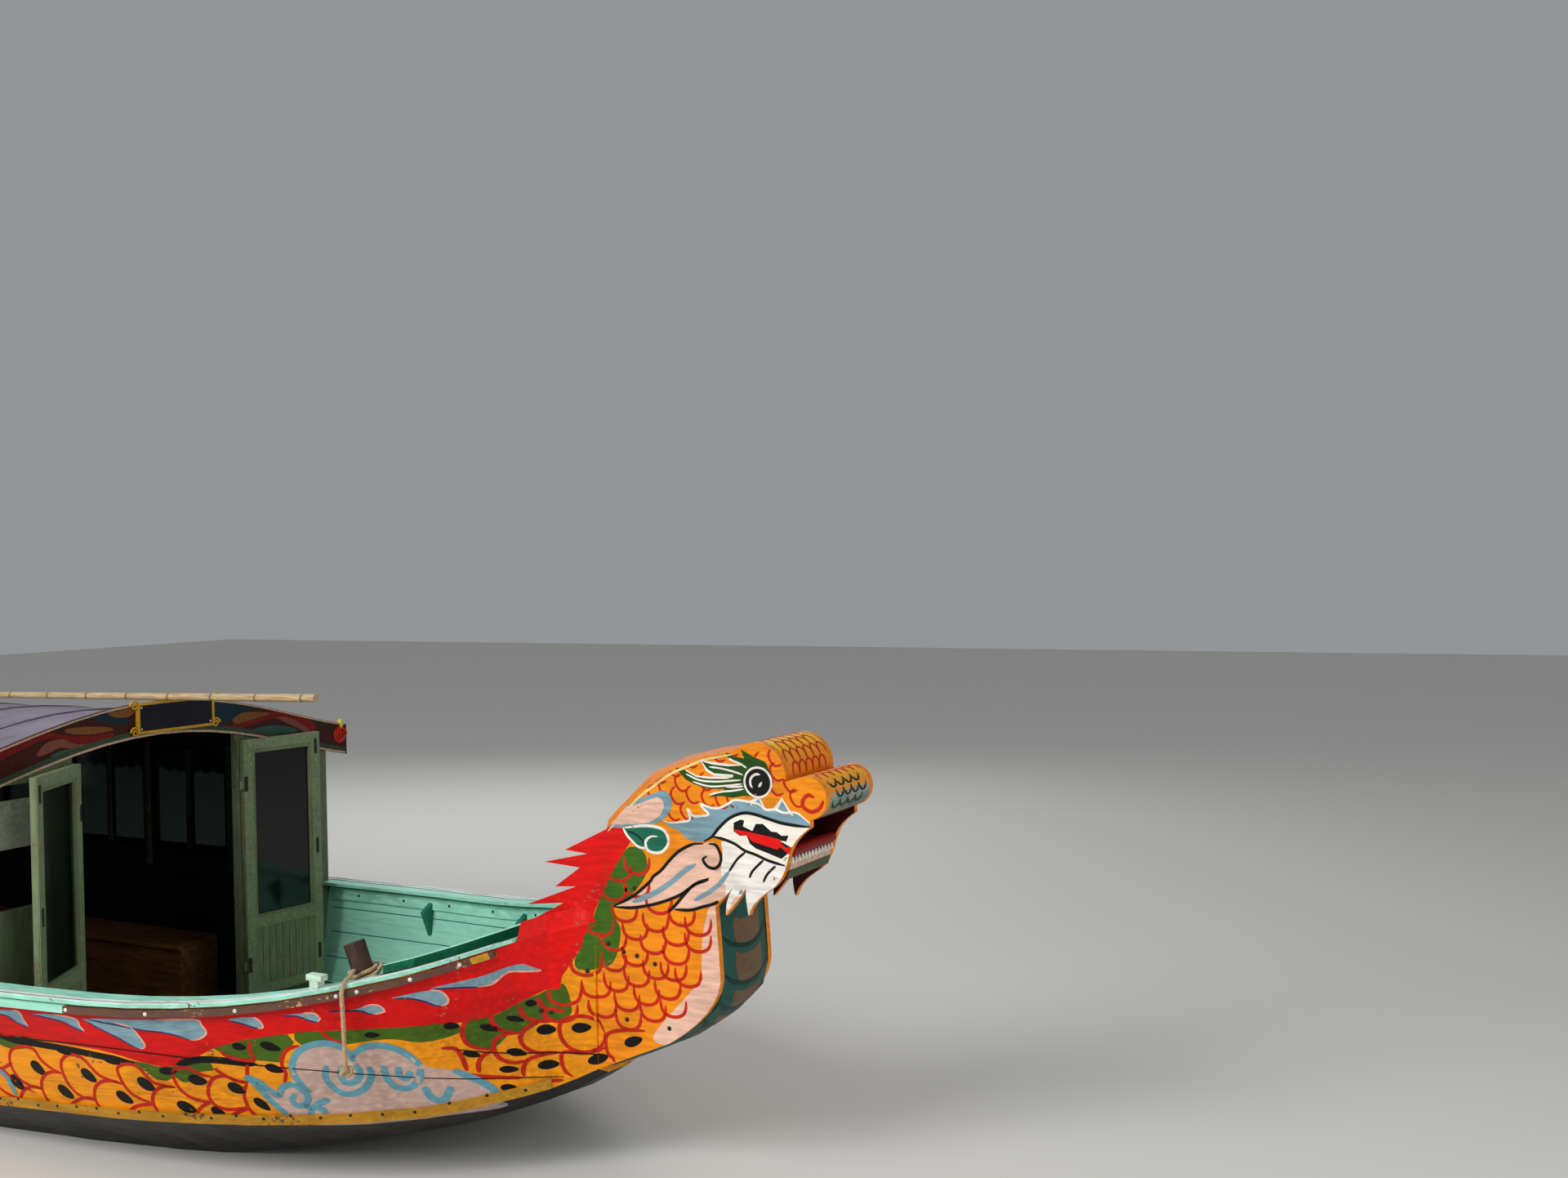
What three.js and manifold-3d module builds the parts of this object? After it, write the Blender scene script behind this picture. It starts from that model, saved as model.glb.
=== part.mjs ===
// A river dragon boat: a hard-chine wooden hull with a boarded dragon's head at the bow, a long
// vaulted passenger cabin, a taller aft house, a scrolled stern, a rudder and a propeller.
// Millimetres. +X runs forward to the dragon, +Y to port, +Z up. The origin is on the water
// plane, on the centreline, below the middle of the boat's length.
import * as THREE from 'three';
import { mergeVertices } from 'three/addons/utils/BufferGeometryUtils.js';
import Module from 'manifold-3d';

const wasm = await Module();
wasm.setup();

// Fits
const GAP = 0.4;
// Half width of a cutter or blank that passes right through the boat.
const BEYOND = 1500;
// Gap round a turning stock or shaft in its bearing.
const BEARING_GAP = 0.6;

// Hull
const PLANK = 28;
const BOW_BULKHEAD_X = 5450;
const TRANSOM_X = -6300;
const BILGE_WIDTH = 0.66;
const BILGE_RISE = 0.26;
const KNUCKLE_HEIGHT = 0.42;
const KNUCKLE_BULGE = 16;
// How far the hollow inside the planking is drawn past the gunwale, to leave the hull open.
const OPEN_RISE = 200;
const KEEL_WIDTH = 70;
const KEEL_DEPTH = 110;

// Sheer fittings
const CAP_WIDTH = 150;
const CAP_HEIGHT = 18;
const CAP_OVERHANG = 14;
const CAP_END_X = 5150;
const RAIL_DROP = 7;
const RAIL_HEIGHT = 34;
const RAIL_DEPTH = 26;
const RAIL_END_X = 5100;
const CHINE_BAND_HEIGHT = 50;
const CHINE_BAND_DEPTH = 14;
const CHINE_BAND_END_X = 5250;
// How far a rail's blank reaches inside the planking before the hull's form is cut out of it.
const SEAT_DEPTH = 12;

// Soles and decks
const SOLE_TOP = 100;
const SOLE_THICKNESS = 26;
const BOW_DECK_DROP = 150;
const BOW_DECK_AFT_X = 4420;
const STERN_DECK_FORWARD_X = -5330;
const STERN_DECK_DROP = 130;

// Dragon's head
const HEAD_HALF_WIDTH = 242;
const HEAD_BOARD = 34;
const ROLL_SEGMENTS = 32;
const BROW_ROLL = { x: 6319, z: 1941, radius: 142 };
const NOSE_ROLL = { x: 6566, z: 1850, radius: 95 };
const LIP_ROLL = { x: 6462, z: 1606, radius: 24 };
const NAPE_THICKNESS = 26;
const BELLY_THICKNESS = 28;
const BELLY_BULGE = 26;

// Bow well fittings
const COAMING_THICKNESS = 24;
const COAMING_RISE = 55;
const COAMING_FOCUS_X = 4100;
const BOLLARD = { x: 4550, y: -740, radius: 50, height: 327, root: 100, leanAft: 0.3, leanInboard: 0.1 };
const CLEAT = { x: 4440, inboard: 40, length: 90, foot: 50, width: 44, height: 66, horn: 26 };

// Main cabin
const CABIN_FRONT_X = 2280;
const CABIN_AFT_X = -3220;
const FRAME_THICKNESS = 32;
const WALL_HALF_WIDTH = 1330;
const WALL_THICKNESS = 36;
const ROOF_CROWN = 2060;
const ROOF_THICKNESS = 24;
const ROOF_HALF_WIDTH = 1500;
const DOOR_OPENING_HALF = 570;
const DOOR_LEAF = { width: 560, thickness: 30, bottom: 290, top: 1850 };
const THRESHOLD_TOP = 280;
const STARBOARD_LEAF_OPEN_DEG = 150;
const PORT_LEAF_OPEN_DEG = 172;

// Reach of a cutter that clears everything above a ceiling.
const ABOVE_ROOF = 600;
const ARCH_SQUARE = 190;
const ARCH_FOURTH = 28;
// The front fascia stands proud of the roof and hangs below it.
const FASCIA_DEPTH = 115;
const FASCIA_RISE = 80;
const FASCIA_FRONT_X = 2300;
const PANE_THICKNESS = 5;
const PANE_LAP = 20;
const CABIN_WINDOWS = { count: 7, post: 90, sill: 990, head: 1660 };
const SIDELIGHT = { inner: 650, outer: 1250, sill: 1130, head: 1780 };
const NAME_BOARD = { width: 520, thickness: 16, bottom: 1975, top: 2125, y: 110 };
const EAVE = { thickness: 30, bottom: 1690 };
const BENCH = { fromX: -2900, toX: 1500, innerY: 780, outerY: 1110, top: 480, overhang: 30, seat: 34 };
const HINGE = {
  x: 2327, y: 570, postX: 2304, postWidth: 66, heights: [460, 1560], lugThickness: 12,
  lugHalf: 8, pinRadius: 5, barrelRadius: 11, barrelHeight: 44, edgeGap: 6,
};
const STILE = 84;
const LEAF_GLASS = { sill: 780, head: 1766 };

// Aft house
const HOUSE_FRONT_X = -3250;
const HOUSE_AFT_X = -5300;
const HOUSE_CROWN = 2420;
const HOUSE_WALL = { frontY: 1240, taper: 0.14 };
const HOUSE_WINDOWS = { count: 3, post: 130, sill: 1150, head: 1800 };
const HOUSE_ROOF = { aftX: -5450, aftHalf: 1130, frontHalf: 1400 };
const HOUSE_PASSAGE = { half: 400, sill: 150, head: 1850 };
const HOUSE_AFT_DOORWAY = { half: 330, sill: 960, head: 2050 };
const HOUSE_FASCIA = { thickness: 22, rise: 12, depth: 205 };
const MAST = { x: -3600, radius: 20, top: 2960, yardHalf: 190, yardZ: 2800, lampRadius: 38, lampHeight: 90 };
const POLE = { fromX: -2600, toX: 3500, aftRadius: 15, frontRadius: 22 };

// Stern
const TAIL_HALF_WIDTH = 330;
const STERN_RAIL = { height: 430, thickness: 40, posts: [-5560, -5880, -6210], forwardX: -5560, aftX: -6230 };

// Running gear
const RUDDER = {
  stockX: -6050, stockRadius: 24, stockTop: 1300, bladeThickness: 36,
  tillerForwardX: -5480, tillerBottom: 1235, tillerTop: 1285, tillerHalf: 22,
};
const PROPELLER = { x: -5160, z: -190, hubRadius: 34, hubHalf: 55, shaftRadius: 16, shaftEndX: -4850 };
const SHAFT_BOSS = { fromX: -4990, toX: -4820, radius: 48, boreEndX: -4840 };
const ENGINE = { fromX: -4900, toX: -4200, half: 270, top: 640 };

// Hull stations from stern to bow, in columns:
// x, gunwale half-beam, gunwale height, chine half-beam, chine height, keel line height
const STATIONS = [
  [-6300, 640, 1330, 470, 800, 700],
  [-5700, 900, 1120, 720, 500, 330],
  [-4900, 1130, 970, 950, 250, -60],
  [-3600, 1310, 870, 1140, 90, -290],
  [-1500, 1400, 825, 1230, 30, -380],
  [500, 1420, 820, 1250, 70, -380],
  [2300, 1400, 840, 1230, 225, -290],
  [3300, 1340, 855, 1170, 270, -150],
  [3800, 1245, 875, 1090, 293, -50],
  [4300, 1100, 930, 945, 315, 60],
  [4800, 840, 1030, 700, 345, 190],
  [5050, 600, 1105, 500, 385, 270],
  [5250, 350, 1165, 330, 430, 350],
  [5450, 242, 1210, 242, 520, 470],
];

// Materials, one colour each: name, colour, roughness, metalness
const PAINTS = {
  hullOrange: [0xe8961a, 0.5, 0],
  bottomBlack: [0x1e1c1a, 0.7, 0],
  capTurquoise: [0x9ee2cc, 0.5, 0],
  tailBlue: [0x4f9fc4, 0.5, 0],
  railBrown: [0x6e4b37, 0.6, 0],
  bandYellow: [0xe8b832, 0.5, 0],
  deckTurquoise: [0x3f9f86, 0.55, 0],
  soleWood: [0x7a5a3e, 0.7, 0],
  dragonOrange: [0xf09a1e, 0.45, 0],
  dragonRed: [0xd2160e, 0.45, 0],
  bellyTeal: [0x1f4a44, 0.5, 0],
  jawTan: [0x8c6a4e, 0.6, 0],
  doorGreen: [0x8a8f6f, 0.65, 0],
  wallWhite: [0xe6e2d4, 0.6, 0],
  glass: [0xb8c8c8, 0.1, 0],
  roofGrey: [0x8d8290, 0.8, 0],
  fasciaRed: [0x7c2a1c, 0.55, 0],
  gutterBlue: [0x8cc4d2, 0.5, 0],
  fasciaTeal: [0x1f5a62, 0.5, 0],
  houseRoof: [0xd8d8d0, 0.7, 0],
  benchWood: [0x9a5f34, 0.55, 0],
  postBrown: [0x3d2417, 0.75, 0],
  cleatPale: [0xcfe6cf, 0.6, 0],
  bamboo: [0xb09068, 0.6, 0],
  mastBlue: [0x3f78b4, 0.5, 0.2],
  iron: [0x4a4440, 0.6, 0.7],
  engineGrey: [0x565c5a, 0.6, 0.5],
  bronze: [0x9c7a3c, 0.4, 0.8],
};

const group = new THREE.Group();

function material(paint) {
  const [colour, roughness, metalness] = PAINTS[paint];
  return new THREE.MeshStandardMaterial({ color: colour, roughness, metalness });
}

function addPiece(name, geometry, paint, parent = group) {
  const mesh = new THREE.Mesh(geometry, material(paint));
  mesh.name = name;
  parent.add(mesh);
  return mesh;
}

// Solids and booleans

function toSolid(geometry) {
  const bare = geometry.clone();
  bare.deleteAttribute('normal');
  bare.deleteAttribute('uv');
  const merged = mergeVertices(bare, 1e-3);
  return new wasm.Manifold(new wasm.Mesh({
    numProp: 3,
    vertProperties: new Float32Array(merged.attributes.position.array),
    triVerts: new Uint32Array(merged.index.array),
  }));
}

function toGeometry(solid) {
  const mesh = solid.getMesh();
  const geometry = new THREE.BufferGeometry();
  geometry.setAttribute('position', new THREE.BufferAttribute(new Float32Array(mesh.vertProperties), 3));
  geometry.setIndex(new THREE.BufferAttribute(new Uint32Array(mesh.triVerts), 1));
  return geometry;
}

function join(...geometries) {
  return toGeometry(geometries.map(toSolid).reduce((whole, next) => whole.add(next)));
}

function cut(geometry, ...tools) {
  return toGeometry(tools.map(toSolid).reduce((whole, tool) => whole.subtract(tool), toSolid(geometry)));
}

function common(first, second) {
  return toGeometry(toSolid(first).intersect(toSolid(second)));
}

// A closed solid through rings of equal point count, each ring an array of Vector3. The second half
// of each ring's sides is split along the other diagonal, so that a mirrored hull stays mirrored.
// The end faces are filled in a zigzag from the ring's first and last points.
function ringLoft(rings) {
  const count = rings[0].length;
  const positions = rings.flat().flatMap((point) => [point.x, point.y, point.z]);
  const index = [];
  for (let ring = 0; ring < rings.length - 1; ring++) {
    const here = ring * count;
    const there = here + count;
    for (let k = 0; k < count; k++) {
      const next = (k + 1) % count;
      if (k < (count - 1) / 2) {
        index.push(here + k, here + next, there + next);
        index.push(here + k, there + next, there + k);
      } else {
        index.push(here + k, here + next, there + k);
        index.push(here + next, there + next, there + k);
      }
    }
  }
  const last = (rings.length - 1) * count;
  let [low, high] = [0, count - 1];
  while (high - low > 1) {
    index.push(low, high, low + 1);
    index.push(last + low, last + low + 1, last + high);
    low++;
    if (high - low > 1) {
      index.push(low, high, high - 1);
      index.push(last + low, last + high - 1, last + high);
      high--;
    }
  }
  const geometry = new THREE.BufferGeometry();
  geometry.setAttribute('position', new THREE.Float32BufferAttribute(positions, 3));
  geometry.setIndex(index);
  return outwardFacing(geometry);
}

// Turns every triangle over when the solid's signed volume is negative.
function outwardFacing(geometry) {
  const position = geometry.attributes.position;
  const index = geometry.index.array;
  const corners = [new THREE.Vector3(), new THREE.Vector3(), new THREE.Vector3()];
  let volume = 0;
  for (let k = 0; k < index.length; k += 3) {
    corners.forEach((corner, side) => corner.fromBufferAttribute(position, index[k + side]));
    volume += corners[0].dot(corners[1].clone().cross(corners[2]));
  }
  if (volume < 0) {
    for (let k = 0; k < index.length; k += 3) {
      [index[k + 1], index[k + 2]] = [index[k + 2], index[k + 1]];
    }
  }
  return geometry;
}

function box(minimum, maximum) {
  const size = maximum.map((value, axis) => value - minimum[axis]);
  const centre = maximum.map((value, axis) => (value + minimum[axis]) / 2);
  return new THREE.BoxGeometry(...size).translate(...centre);
}

function outline(points) {
  return new THREE.Shape(points.map(([across, up]) => new THREE.Vector2(across, up)));
}

// A flat board whose outline lies in the XZ plane, from one y to another.
function boardXZ(shape, fromY, toY, curveSegments = 8) {
  const settings = { depth: toY - fromY, bevelEnabled: false, curveSegments };
  const geometry = new THREE.ExtrudeGeometry(shape, settings);
  return geometry.rotateX(Math.PI / 2).translate(0, toY, 0);
}

// A flat board whose outline lies in the YZ plane, from one x to another.
function boardYZ(shape, fromX, toX, curveSegments = 8) {
  const settings = { depth: toX - fromX, bevelEnabled: false, curveSegments };
  const geometry = new THREE.ExtrudeGeometry(shape, settings);
  const basis = new THREE.Matrix4().makeBasis(
    new THREE.Vector3(0, 1, 0), new THREE.Vector3(0, 0, 1), new THREE.Vector3(1, 0, 0));
  return geometry.applyMatrix4(basis).translate(fromX, 0, 0);
}

function cylinderY(x, z, radius, fromY, toY, segments = 28) {
  const geometry = new THREE.CylinderGeometry(radius, radius, toY - fromY, segments);
  return geometry.translate(x, (fromY + toY) / 2, z);
}

function cylinderX(z, radius, fromX, toX, segments = 20) {
  const geometry = new THREE.CylinderGeometry(radius, radius, toX - fromX, segments).rotateZ(Math.PI / 2);
  return geometry.translate((fromX + toX) / 2, 0, z);
}

function pinZ(x, y, radius, fromZ, toZ, segments = 14) {
  return new THREE.CylinderGeometry(radius, radius, toZ - fromZ, segments).rotateX(Math.PI / 2)
    .translate(x, y, (fromZ + toZ) / 2);
}

function mirrored(geometry) {
  return outwardFacing(indexed(geometry).scale(1, -1, 1));
}

function indexed(geometry) {
  const bare = geometry.clone();
  bare.deleteAttribute('normal');
  bare.deleteAttribute('uv');
  return mergeVertices(bare, 1e-3);
}

// Hull form: smooth curves through the stations, sampled at the same places for every piece

const COLUMN = { gunwaleBeam: 1, gunwaleZ: 2, chineBeam: 3, chineZ: 4, keelZ: 5 };

// Catmull-Rom value of one station column at x, with unequal spacing.
function hullValue(column, x) {
  const last = STATIONS.length - 1;
  let span = 0;
  while (span < last - 1 && STATIONS[span + 1][0] < x) {
    span++;
  }
  const slope = (k) => {
    const before = STATIONS[Math.max(k - 1, 0)];
    const after = STATIONS[Math.min(k + 1, last)];
    return (after[column] - before[column]) / (after[0] - before[0]);
  };
  const [from, to] = [STATIONS[span], STATIONS[span + 1]];
  const length = to[0] - from[0];
  const t = (x - from[0]) / length;
  const [t2, t3] = [t * t, t * t * t];
  return (2 * t3 - 3 * t2 + 1) * from[column] + (t3 - 2 * t2 + t) * length * slope(span)
    + (-2 * t3 + 3 * t2) * to[column] + (t3 - t2) * length * slope(span + 1);
}

// Section frames used by everything that follows the hull's sides.
function stationPlaces() {
  const places = [];
  for (let k = 0; k < STATIONS.length - 1; k++) {
    const from = STATIONS[k][0];
    const to = STATIONS[k + 1][0];
    const steps = to - from > 1000 ? 3 : 2;
    for (let step = 0; step < steps; step++) {
      places.push(from + (to - from) * step / steps);
    }
  }
  places.push(STATIONS.at(-1)[0]);
  return places;
}

const PLACES = stationPlaces();

// A value of the hull's form at x, straight between the sections as the planking is.
function straightAt(valueAt, x) {
  const k = Math.max(1, PLACES.findIndex((place) => place >= x));
  const [from, to] = [PLACES[k - 1], PLACES[k]];
  const share = (x - from) / (to - from);
  return valueAt(from) + (valueAt(to) - valueAt(from)) * share;
}

// Half section at x, moved inwards by inset: gunwale, knuckle, chine, bilge and keel points as [y, z].
function halfSection(x, inset = 0, rise = 0) {
  const gunwale = [hullValue(COLUMN.gunwaleBeam, x) - inset, hullValue(COLUMN.gunwaleZ, x) + rise];
  const chine = [hullValue(COLUMN.chineBeam, x) - inset, hullValue(COLUMN.chineZ, x) + inset * 0.8];
  const keelZ = hullValue(COLUMN.keelZ, x) + inset;
  const bilge = [chine[0] * BILGE_WIDTH, keelZ + (chine[1] - keelZ) * BILGE_RISE];
  const sheer = hullValue(COLUMN.gunwaleZ, x);
  const knuckle = [
    chine[0] + (gunwale[0] - chine[0]) * KNUCKLE_HEIGHT + KNUCKLE_BULGE,
    chine[1] + (sheer - chine[1]) * KNUCKLE_HEIGHT];
  return { gunwale, knuckle, chine, bilge, keel: [0, keelZ] };
}

function fullRing(x, section) {
  const port = [section.gunwale, section.knuckle, section.chine, section.bilge];
  const ring = port.map(([y, z]) => new THREE.Vector3(x, y, z));
  ring.push(new THREE.Vector3(x, 0, section.keel[1]));
  for (const [y, z] of port.reverse()) {
    ring.push(new THREE.Vector3(x, -y, z));
  }
  return ring;
}

function hullOuter(growth = 0) {
  return ringLoft(PLACES.map((x) => fullRing(x, halfSection(x, -growth))));
}

// The space inside the planking, open above the gunwale by rise.
function hullInner(inset, endInset, rise) {
  const inside = PLACES.filter((x) => x > TRANSOM_X + endInset && x < BOW_BULKHEAD_X - endInset);
  const places = [TRANSOM_X + endInset, ...inside, BOW_BULKHEAD_X - endInset];
  return ringLoft(places.map((x) => fullRing(x, halfSection(x, inset, rise))));
}

// The hole that the rudder's stock turns in.
function stockHole() {
  return pinZ(RUDDER.stockX, 0, RUDDER.stockRadius + BEARING_GAP, 0, BEYOND, 20);
}

const hullForm = hullOuter();
const cavity = hullInner(PLANK + GAP, PLANK + GAP, OPEN_RISE);

function buildHull() {
  addPiece('hull_shell', cut(hullForm, hullInner(PLANK, PLANK, OPEN_RISE), stockHole()), 'hullOrange');

  const keelTop = PLACES.filter((x) => x > -5000 && x < 4300);
  const keelOutline = [
    ...keelTop.map((x) => [x, hullValue(COLUMN.keelZ, x) + 80]),
    ...keelTop.toReversed().map((x) => [x, Math.min(hullValue(COLUMN.keelZ, x) - KEEL_DEPTH, -300)]),
  ];
  const keelBoard = boardXZ(outline(keelOutline), -KEEL_WIDTH / 2, KEEL_WIDTH / 2);
  const boss = cylinderX(PROPELLER.z, SHAFT_BOSS.radius, SHAFT_BOSS.fromX, SHAFT_BOSS.toX);
  const boreRadius = PROPELLER.shaftRadius + BEARING_GAP;
  const bore = cylinderX(PROPELLER.z, boreRadius, SHAFT_BOSS.fromX - 50, SHAFT_BOSS.boreEndX);
  addPiece('keel', cut(join(keelBoard, boss), hullOuter(GAP), bore), 'bottomBlack');
}

// A band that follows one line of the hull from the transom to the bow on both sides, closed across
// the transom. sectionAt gives the band's four corners as [y, z] at x, outermost pair first.
function sideBand(sectionAt, fromX, toX) {
  const places = [fromX, ...PLACES.filter((x) => x > fromX && x < toX), toX];
  const rings = places.map((x) => sectionAt(x).map(([y, z]) => new THREE.Vector3(x, y, z)));
  return ringLoft(rings);
}

function bothSides(name, geometry, paint) {
  addPiece(`${name}_port`, geometry, paint);
  addPiece(`${name}_starboard`, mirrored(geometry), paint);
}

function sheerZ(x) {
  return hullValue(COLUMN.gunwaleZ, x);
}

// Top of the gunwale cap and its inner edge at x.
function capTop(x) {
  return straightAt(sheerZ, x) + GAP + CAP_HEIGHT;
}

function capInnerY(x) {
  return straightAt((place) => hullValue(COLUMN.gunwaleBeam, place), x) + CAP_OVERHANG - CAP_WIDTH;
}

// The port gunwale cap, or the same with its top raised by growth to seat a fitting on it.
function capBand(growth = 0) {
  return sideBand((x) => {
    const beam = hullValue(COLUMN.gunwaleBeam, x);
    const bottom = sheerZ(x) + GAP;
    const top = bottom + CAP_HEIGHT + growth;
    const width = Math.min(CAP_WIDTH, beam - HEAD_HALF_WIDTH * 0.6);
    return [
      [beam + CAP_OVERHANG, bottom], [beam + CAP_OVERHANG, top],
      [beam + CAP_OVERHANG - width, top], [beam + CAP_OVERHANG - width, bottom]];
  }, TRANSOM_X, CAP_END_X);
}

function buildSheerFittings() {
  bothSides('gunwale_cap', capBand(), 'capTurquoise');

  const grownHull = hullOuter(GAP);
  const rail = sideBand((x) => {
    const beam = hullValue(COLUMN.gunwaleBeam, x);
    const top = sheerZ(x) - RAIL_DROP;
    return [
      [beam - SEAT_DEPTH, top], [beam - SEAT_DEPTH, top - RAIL_HEIGHT],
      [beam + RAIL_DEPTH, top - RAIL_HEIGHT], [beam + RAIL_DEPTH, top]];
  }, TRANSOM_X, RAIL_END_X);
  bothSides('rub_rail', cut(rail, grownHull), 'railBrown');

  const band = sideBand((x) => {
    const section = halfSection(x);
    const [chineY, chineZ] = section.chine;
    const [knuckleY, knuckleZ] = section.knuckle;
    const up = CHINE_BAND_HEIGHT / (knuckleZ - chineZ);
    const topY = chineY + (knuckleY - chineY) * up;
    return [
      [chineY - SEAT_DEPTH, chineZ], [topY - SEAT_DEPTH, chineZ + CHINE_BAND_HEIGHT],
      [topY + CHINE_BAND_DEPTH, chineZ + CHINE_BAND_HEIGHT], [chineY + CHINE_BAND_DEPTH, chineZ]];
  }, TRANSOM_X, CHINE_BAND_END_X);
  bothSides('chine_band', cut(band, grownHull), 'bandYellow');
}

function buildDecks() {
  const soleSlab = box([STERN_DECK_FORWARD_X, -BEYOND, SOLE_TOP - SOLE_THICKNESS],
    [BOW_DECK_AFT_X, BEYOND, SOLE_TOP]);
  addPiece('cabin_sole', common(soleSlab, cavity), 'soleWood');

  const bowDeck = deckSlab(BOW_DECK_AFT_X, BOW_BULKHEAD_X, BOW_DECK_DROP);
  addPiece('bow_deck', common(bowDeck, cavity), 'deckTurquoise');
  const sternDeck = common(deckSlab(TRANSOM_X, STERN_DECK_FORWARD_X, STERN_DECK_DROP), cavity);
  addPiece('stern_deck', cut(sternDeck, stockHole()), 'deckTurquoise');
}

// A slab that follows the sheer at a drop below it, wider than the hull.
function deckSlab(fromX, toX, drop, thickness = SOLE_THICKNESS) {
  const places = [fromX, ...PLACES.filter((x) => x > fromX && x < toX), toX];
  return ringLoft(places.map((x) => {
    const top = sheerZ(x) - drop;
    return [[BEYOND, top], [BEYOND, top - thickness], [-BEYOND, top - thickness], [-BEYOND, top]]
      .map(([y, z]) => new THREE.Vector3(x, y, z));
  }));
}

// Bow well: a low coaming that stands on the bow deck and closes in a point ahead of the dragon's mane

// Half plan of the coaming's outer face from aft forward, in columns: x, y
const COAMING_PLAN = [[4635, 780], [4740, 690], [4826, 480], [4878, 190], [4900, 0]];

function buildBowWell() {
  const foot = (x) => sheerZ(x) - BOW_DECK_DROP;
  const starboard = COAMING_PLAN.slice(0, -1).toReversed().map(([x, y]) => [x, -y]);
  const sides = [...COAMING_PLAN, ...starboard];
  const inward = (x, y) => {
    const length = Math.hypot(x - COAMING_FOCUS_X, y);
    return [x - (x - COAMING_FOCUS_X) / length * COAMING_THICKNESS, y - y / length * COAMING_THICKNESS];
  };
  const rings = sides.map(([x, y]) => {
    const [innerX, innerY] = inward(x, y);
    const bottom = foot(x) - COAMING_THICKNESS;
    const top = sheerZ(x) + COAMING_RISE;
    return [[x, y, bottom], [x, y, top], [innerX, innerY, top], [innerX, innerY, bottom]]
      .map((point) => new THREE.Vector3(...point));
  });
  const deckTop = deckSlab(BOW_DECK_AFT_X - 400, BOW_BULKHEAD_X, BOW_DECK_DROP - GAP, 1000);
  addPiece('bow_coaming', cut(ringLoft(rings), deckTop), 'capTurquoise');

  const post = octagon(BOLLARD.radius, BOLLARD.height + BOLLARD.root)
    .translate(0, 0, (BOLLARD.height - BOLLARD.root) / 2);
  const turn = new THREE.Euler(BOLLARD.leanInboard, -BOLLARD.leanAft, 0);
  const lean = new THREE.Matrix4().makeRotationFromEuler(turn);
  lean.setPosition(BOLLARD.x, BOLLARD.y, sheerZ(BOLLARD.x) - BOW_DECK_DROP);
  addPiece('bollard', cut(post.applyMatrix4(lean), deckTop), 'postBrown');

  const cleatY = -(hullValue(COLUMN.gunwaleBeam, CLEAT.x) - CLEAT.inboard);
  const seat = capTop(CLEAT.x);
  const [nearY, farY] = [cleatY - CLEAT.width / 2, cleatY + CLEAT.width / 2];
  const top = seat + CLEAT.height;
  const stem = box([CLEAT.x - CLEAT.foot / 2, nearY, seat - SEAT_DEPTH],
    [CLEAT.x + CLEAT.foot / 2, farY, top]);
  const horns = box([CLEAT.x - CLEAT.length / 2, nearY, top - CLEAT.horn],
    [CLEAT.x + CLEAT.length / 2, farY, top]);
  addPiece('cleat', cut(join(stem, horns), mirrored(capBand(GAP))), 'cleatPale');
}

function octagon(radius, length) {
  return new THREE.CylinderGeometry(radius, radius, length, 8).rotateX(Math.PI / 2);
}

// Dragon's head: two flat profile boards with rolls, a nape, a belly and jaws between them

// Flames of the mane down the back of the neck, from the top, in columns: tip x, tip z, notch x, notch z
const MANE_FLAMES = [
  [5284, 1537, 5414, 1527],
  [5165, 1471, 5366, 1459],
  [5223, 1359, 5341, 1368],
  [5054, 1259, 5269, 1285],
  [5042, 1167, 5161, 1150],
];

// Nape from the brow down to the bow deck, in columns:
// board edge x, board edge z, ridge x, ridge z
const NAPE = [
  [6200, 2040, 6190, 2052],
  [6044, 2008, 6010, 2022],
  [5871, 1938, 5830, 1976],
  [5693, 1820, 5629, 1889],
  [5520, 1650, 5400, 1680],
  [5475, 1500, 5360, 1510],
  [5440, 1360, 5345, 1360],
];

// Belly line between the boards from the jaw down and aft to the hull, in columns: x, z
const BELLY = [
  [6096, 1398], [6098, 1265], [6108, 1119], [6116, 1000], [6090, 885], [5995, 792], [5844, 692],
  [5660, 606], [5452, 522],
];

// Profiles of the top of the snout, the palate and the lower jaw, in columns: x, z
const SNOUT_TOP = [[6430, 1885], [6447, 1912], [6530, 1938], [6560, 1943], [6560, 1900], [6450, 1870]];
const PALATE = [
  [6106, 1668], [6165, 1742], [6210, 1765], [6270, 1776], [6330, 1766], [6412, 1750], [6492, 1738],
  [6560, 1742], [6560, 1772], [6490, 1768], [6412, 1780], [6330, 1796], [6270, 1806], [6200, 1794],
  [6140, 1760], [6080, 1690],
];
const LOWER_JAW = [
  [6128, 1404], [6195, 1426], [6440, 1480], [6460, 1549], [6466, 1580], [6440, 1586], [6100, 1662],
  [6072, 1640], [6100, 1500],
];

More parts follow.
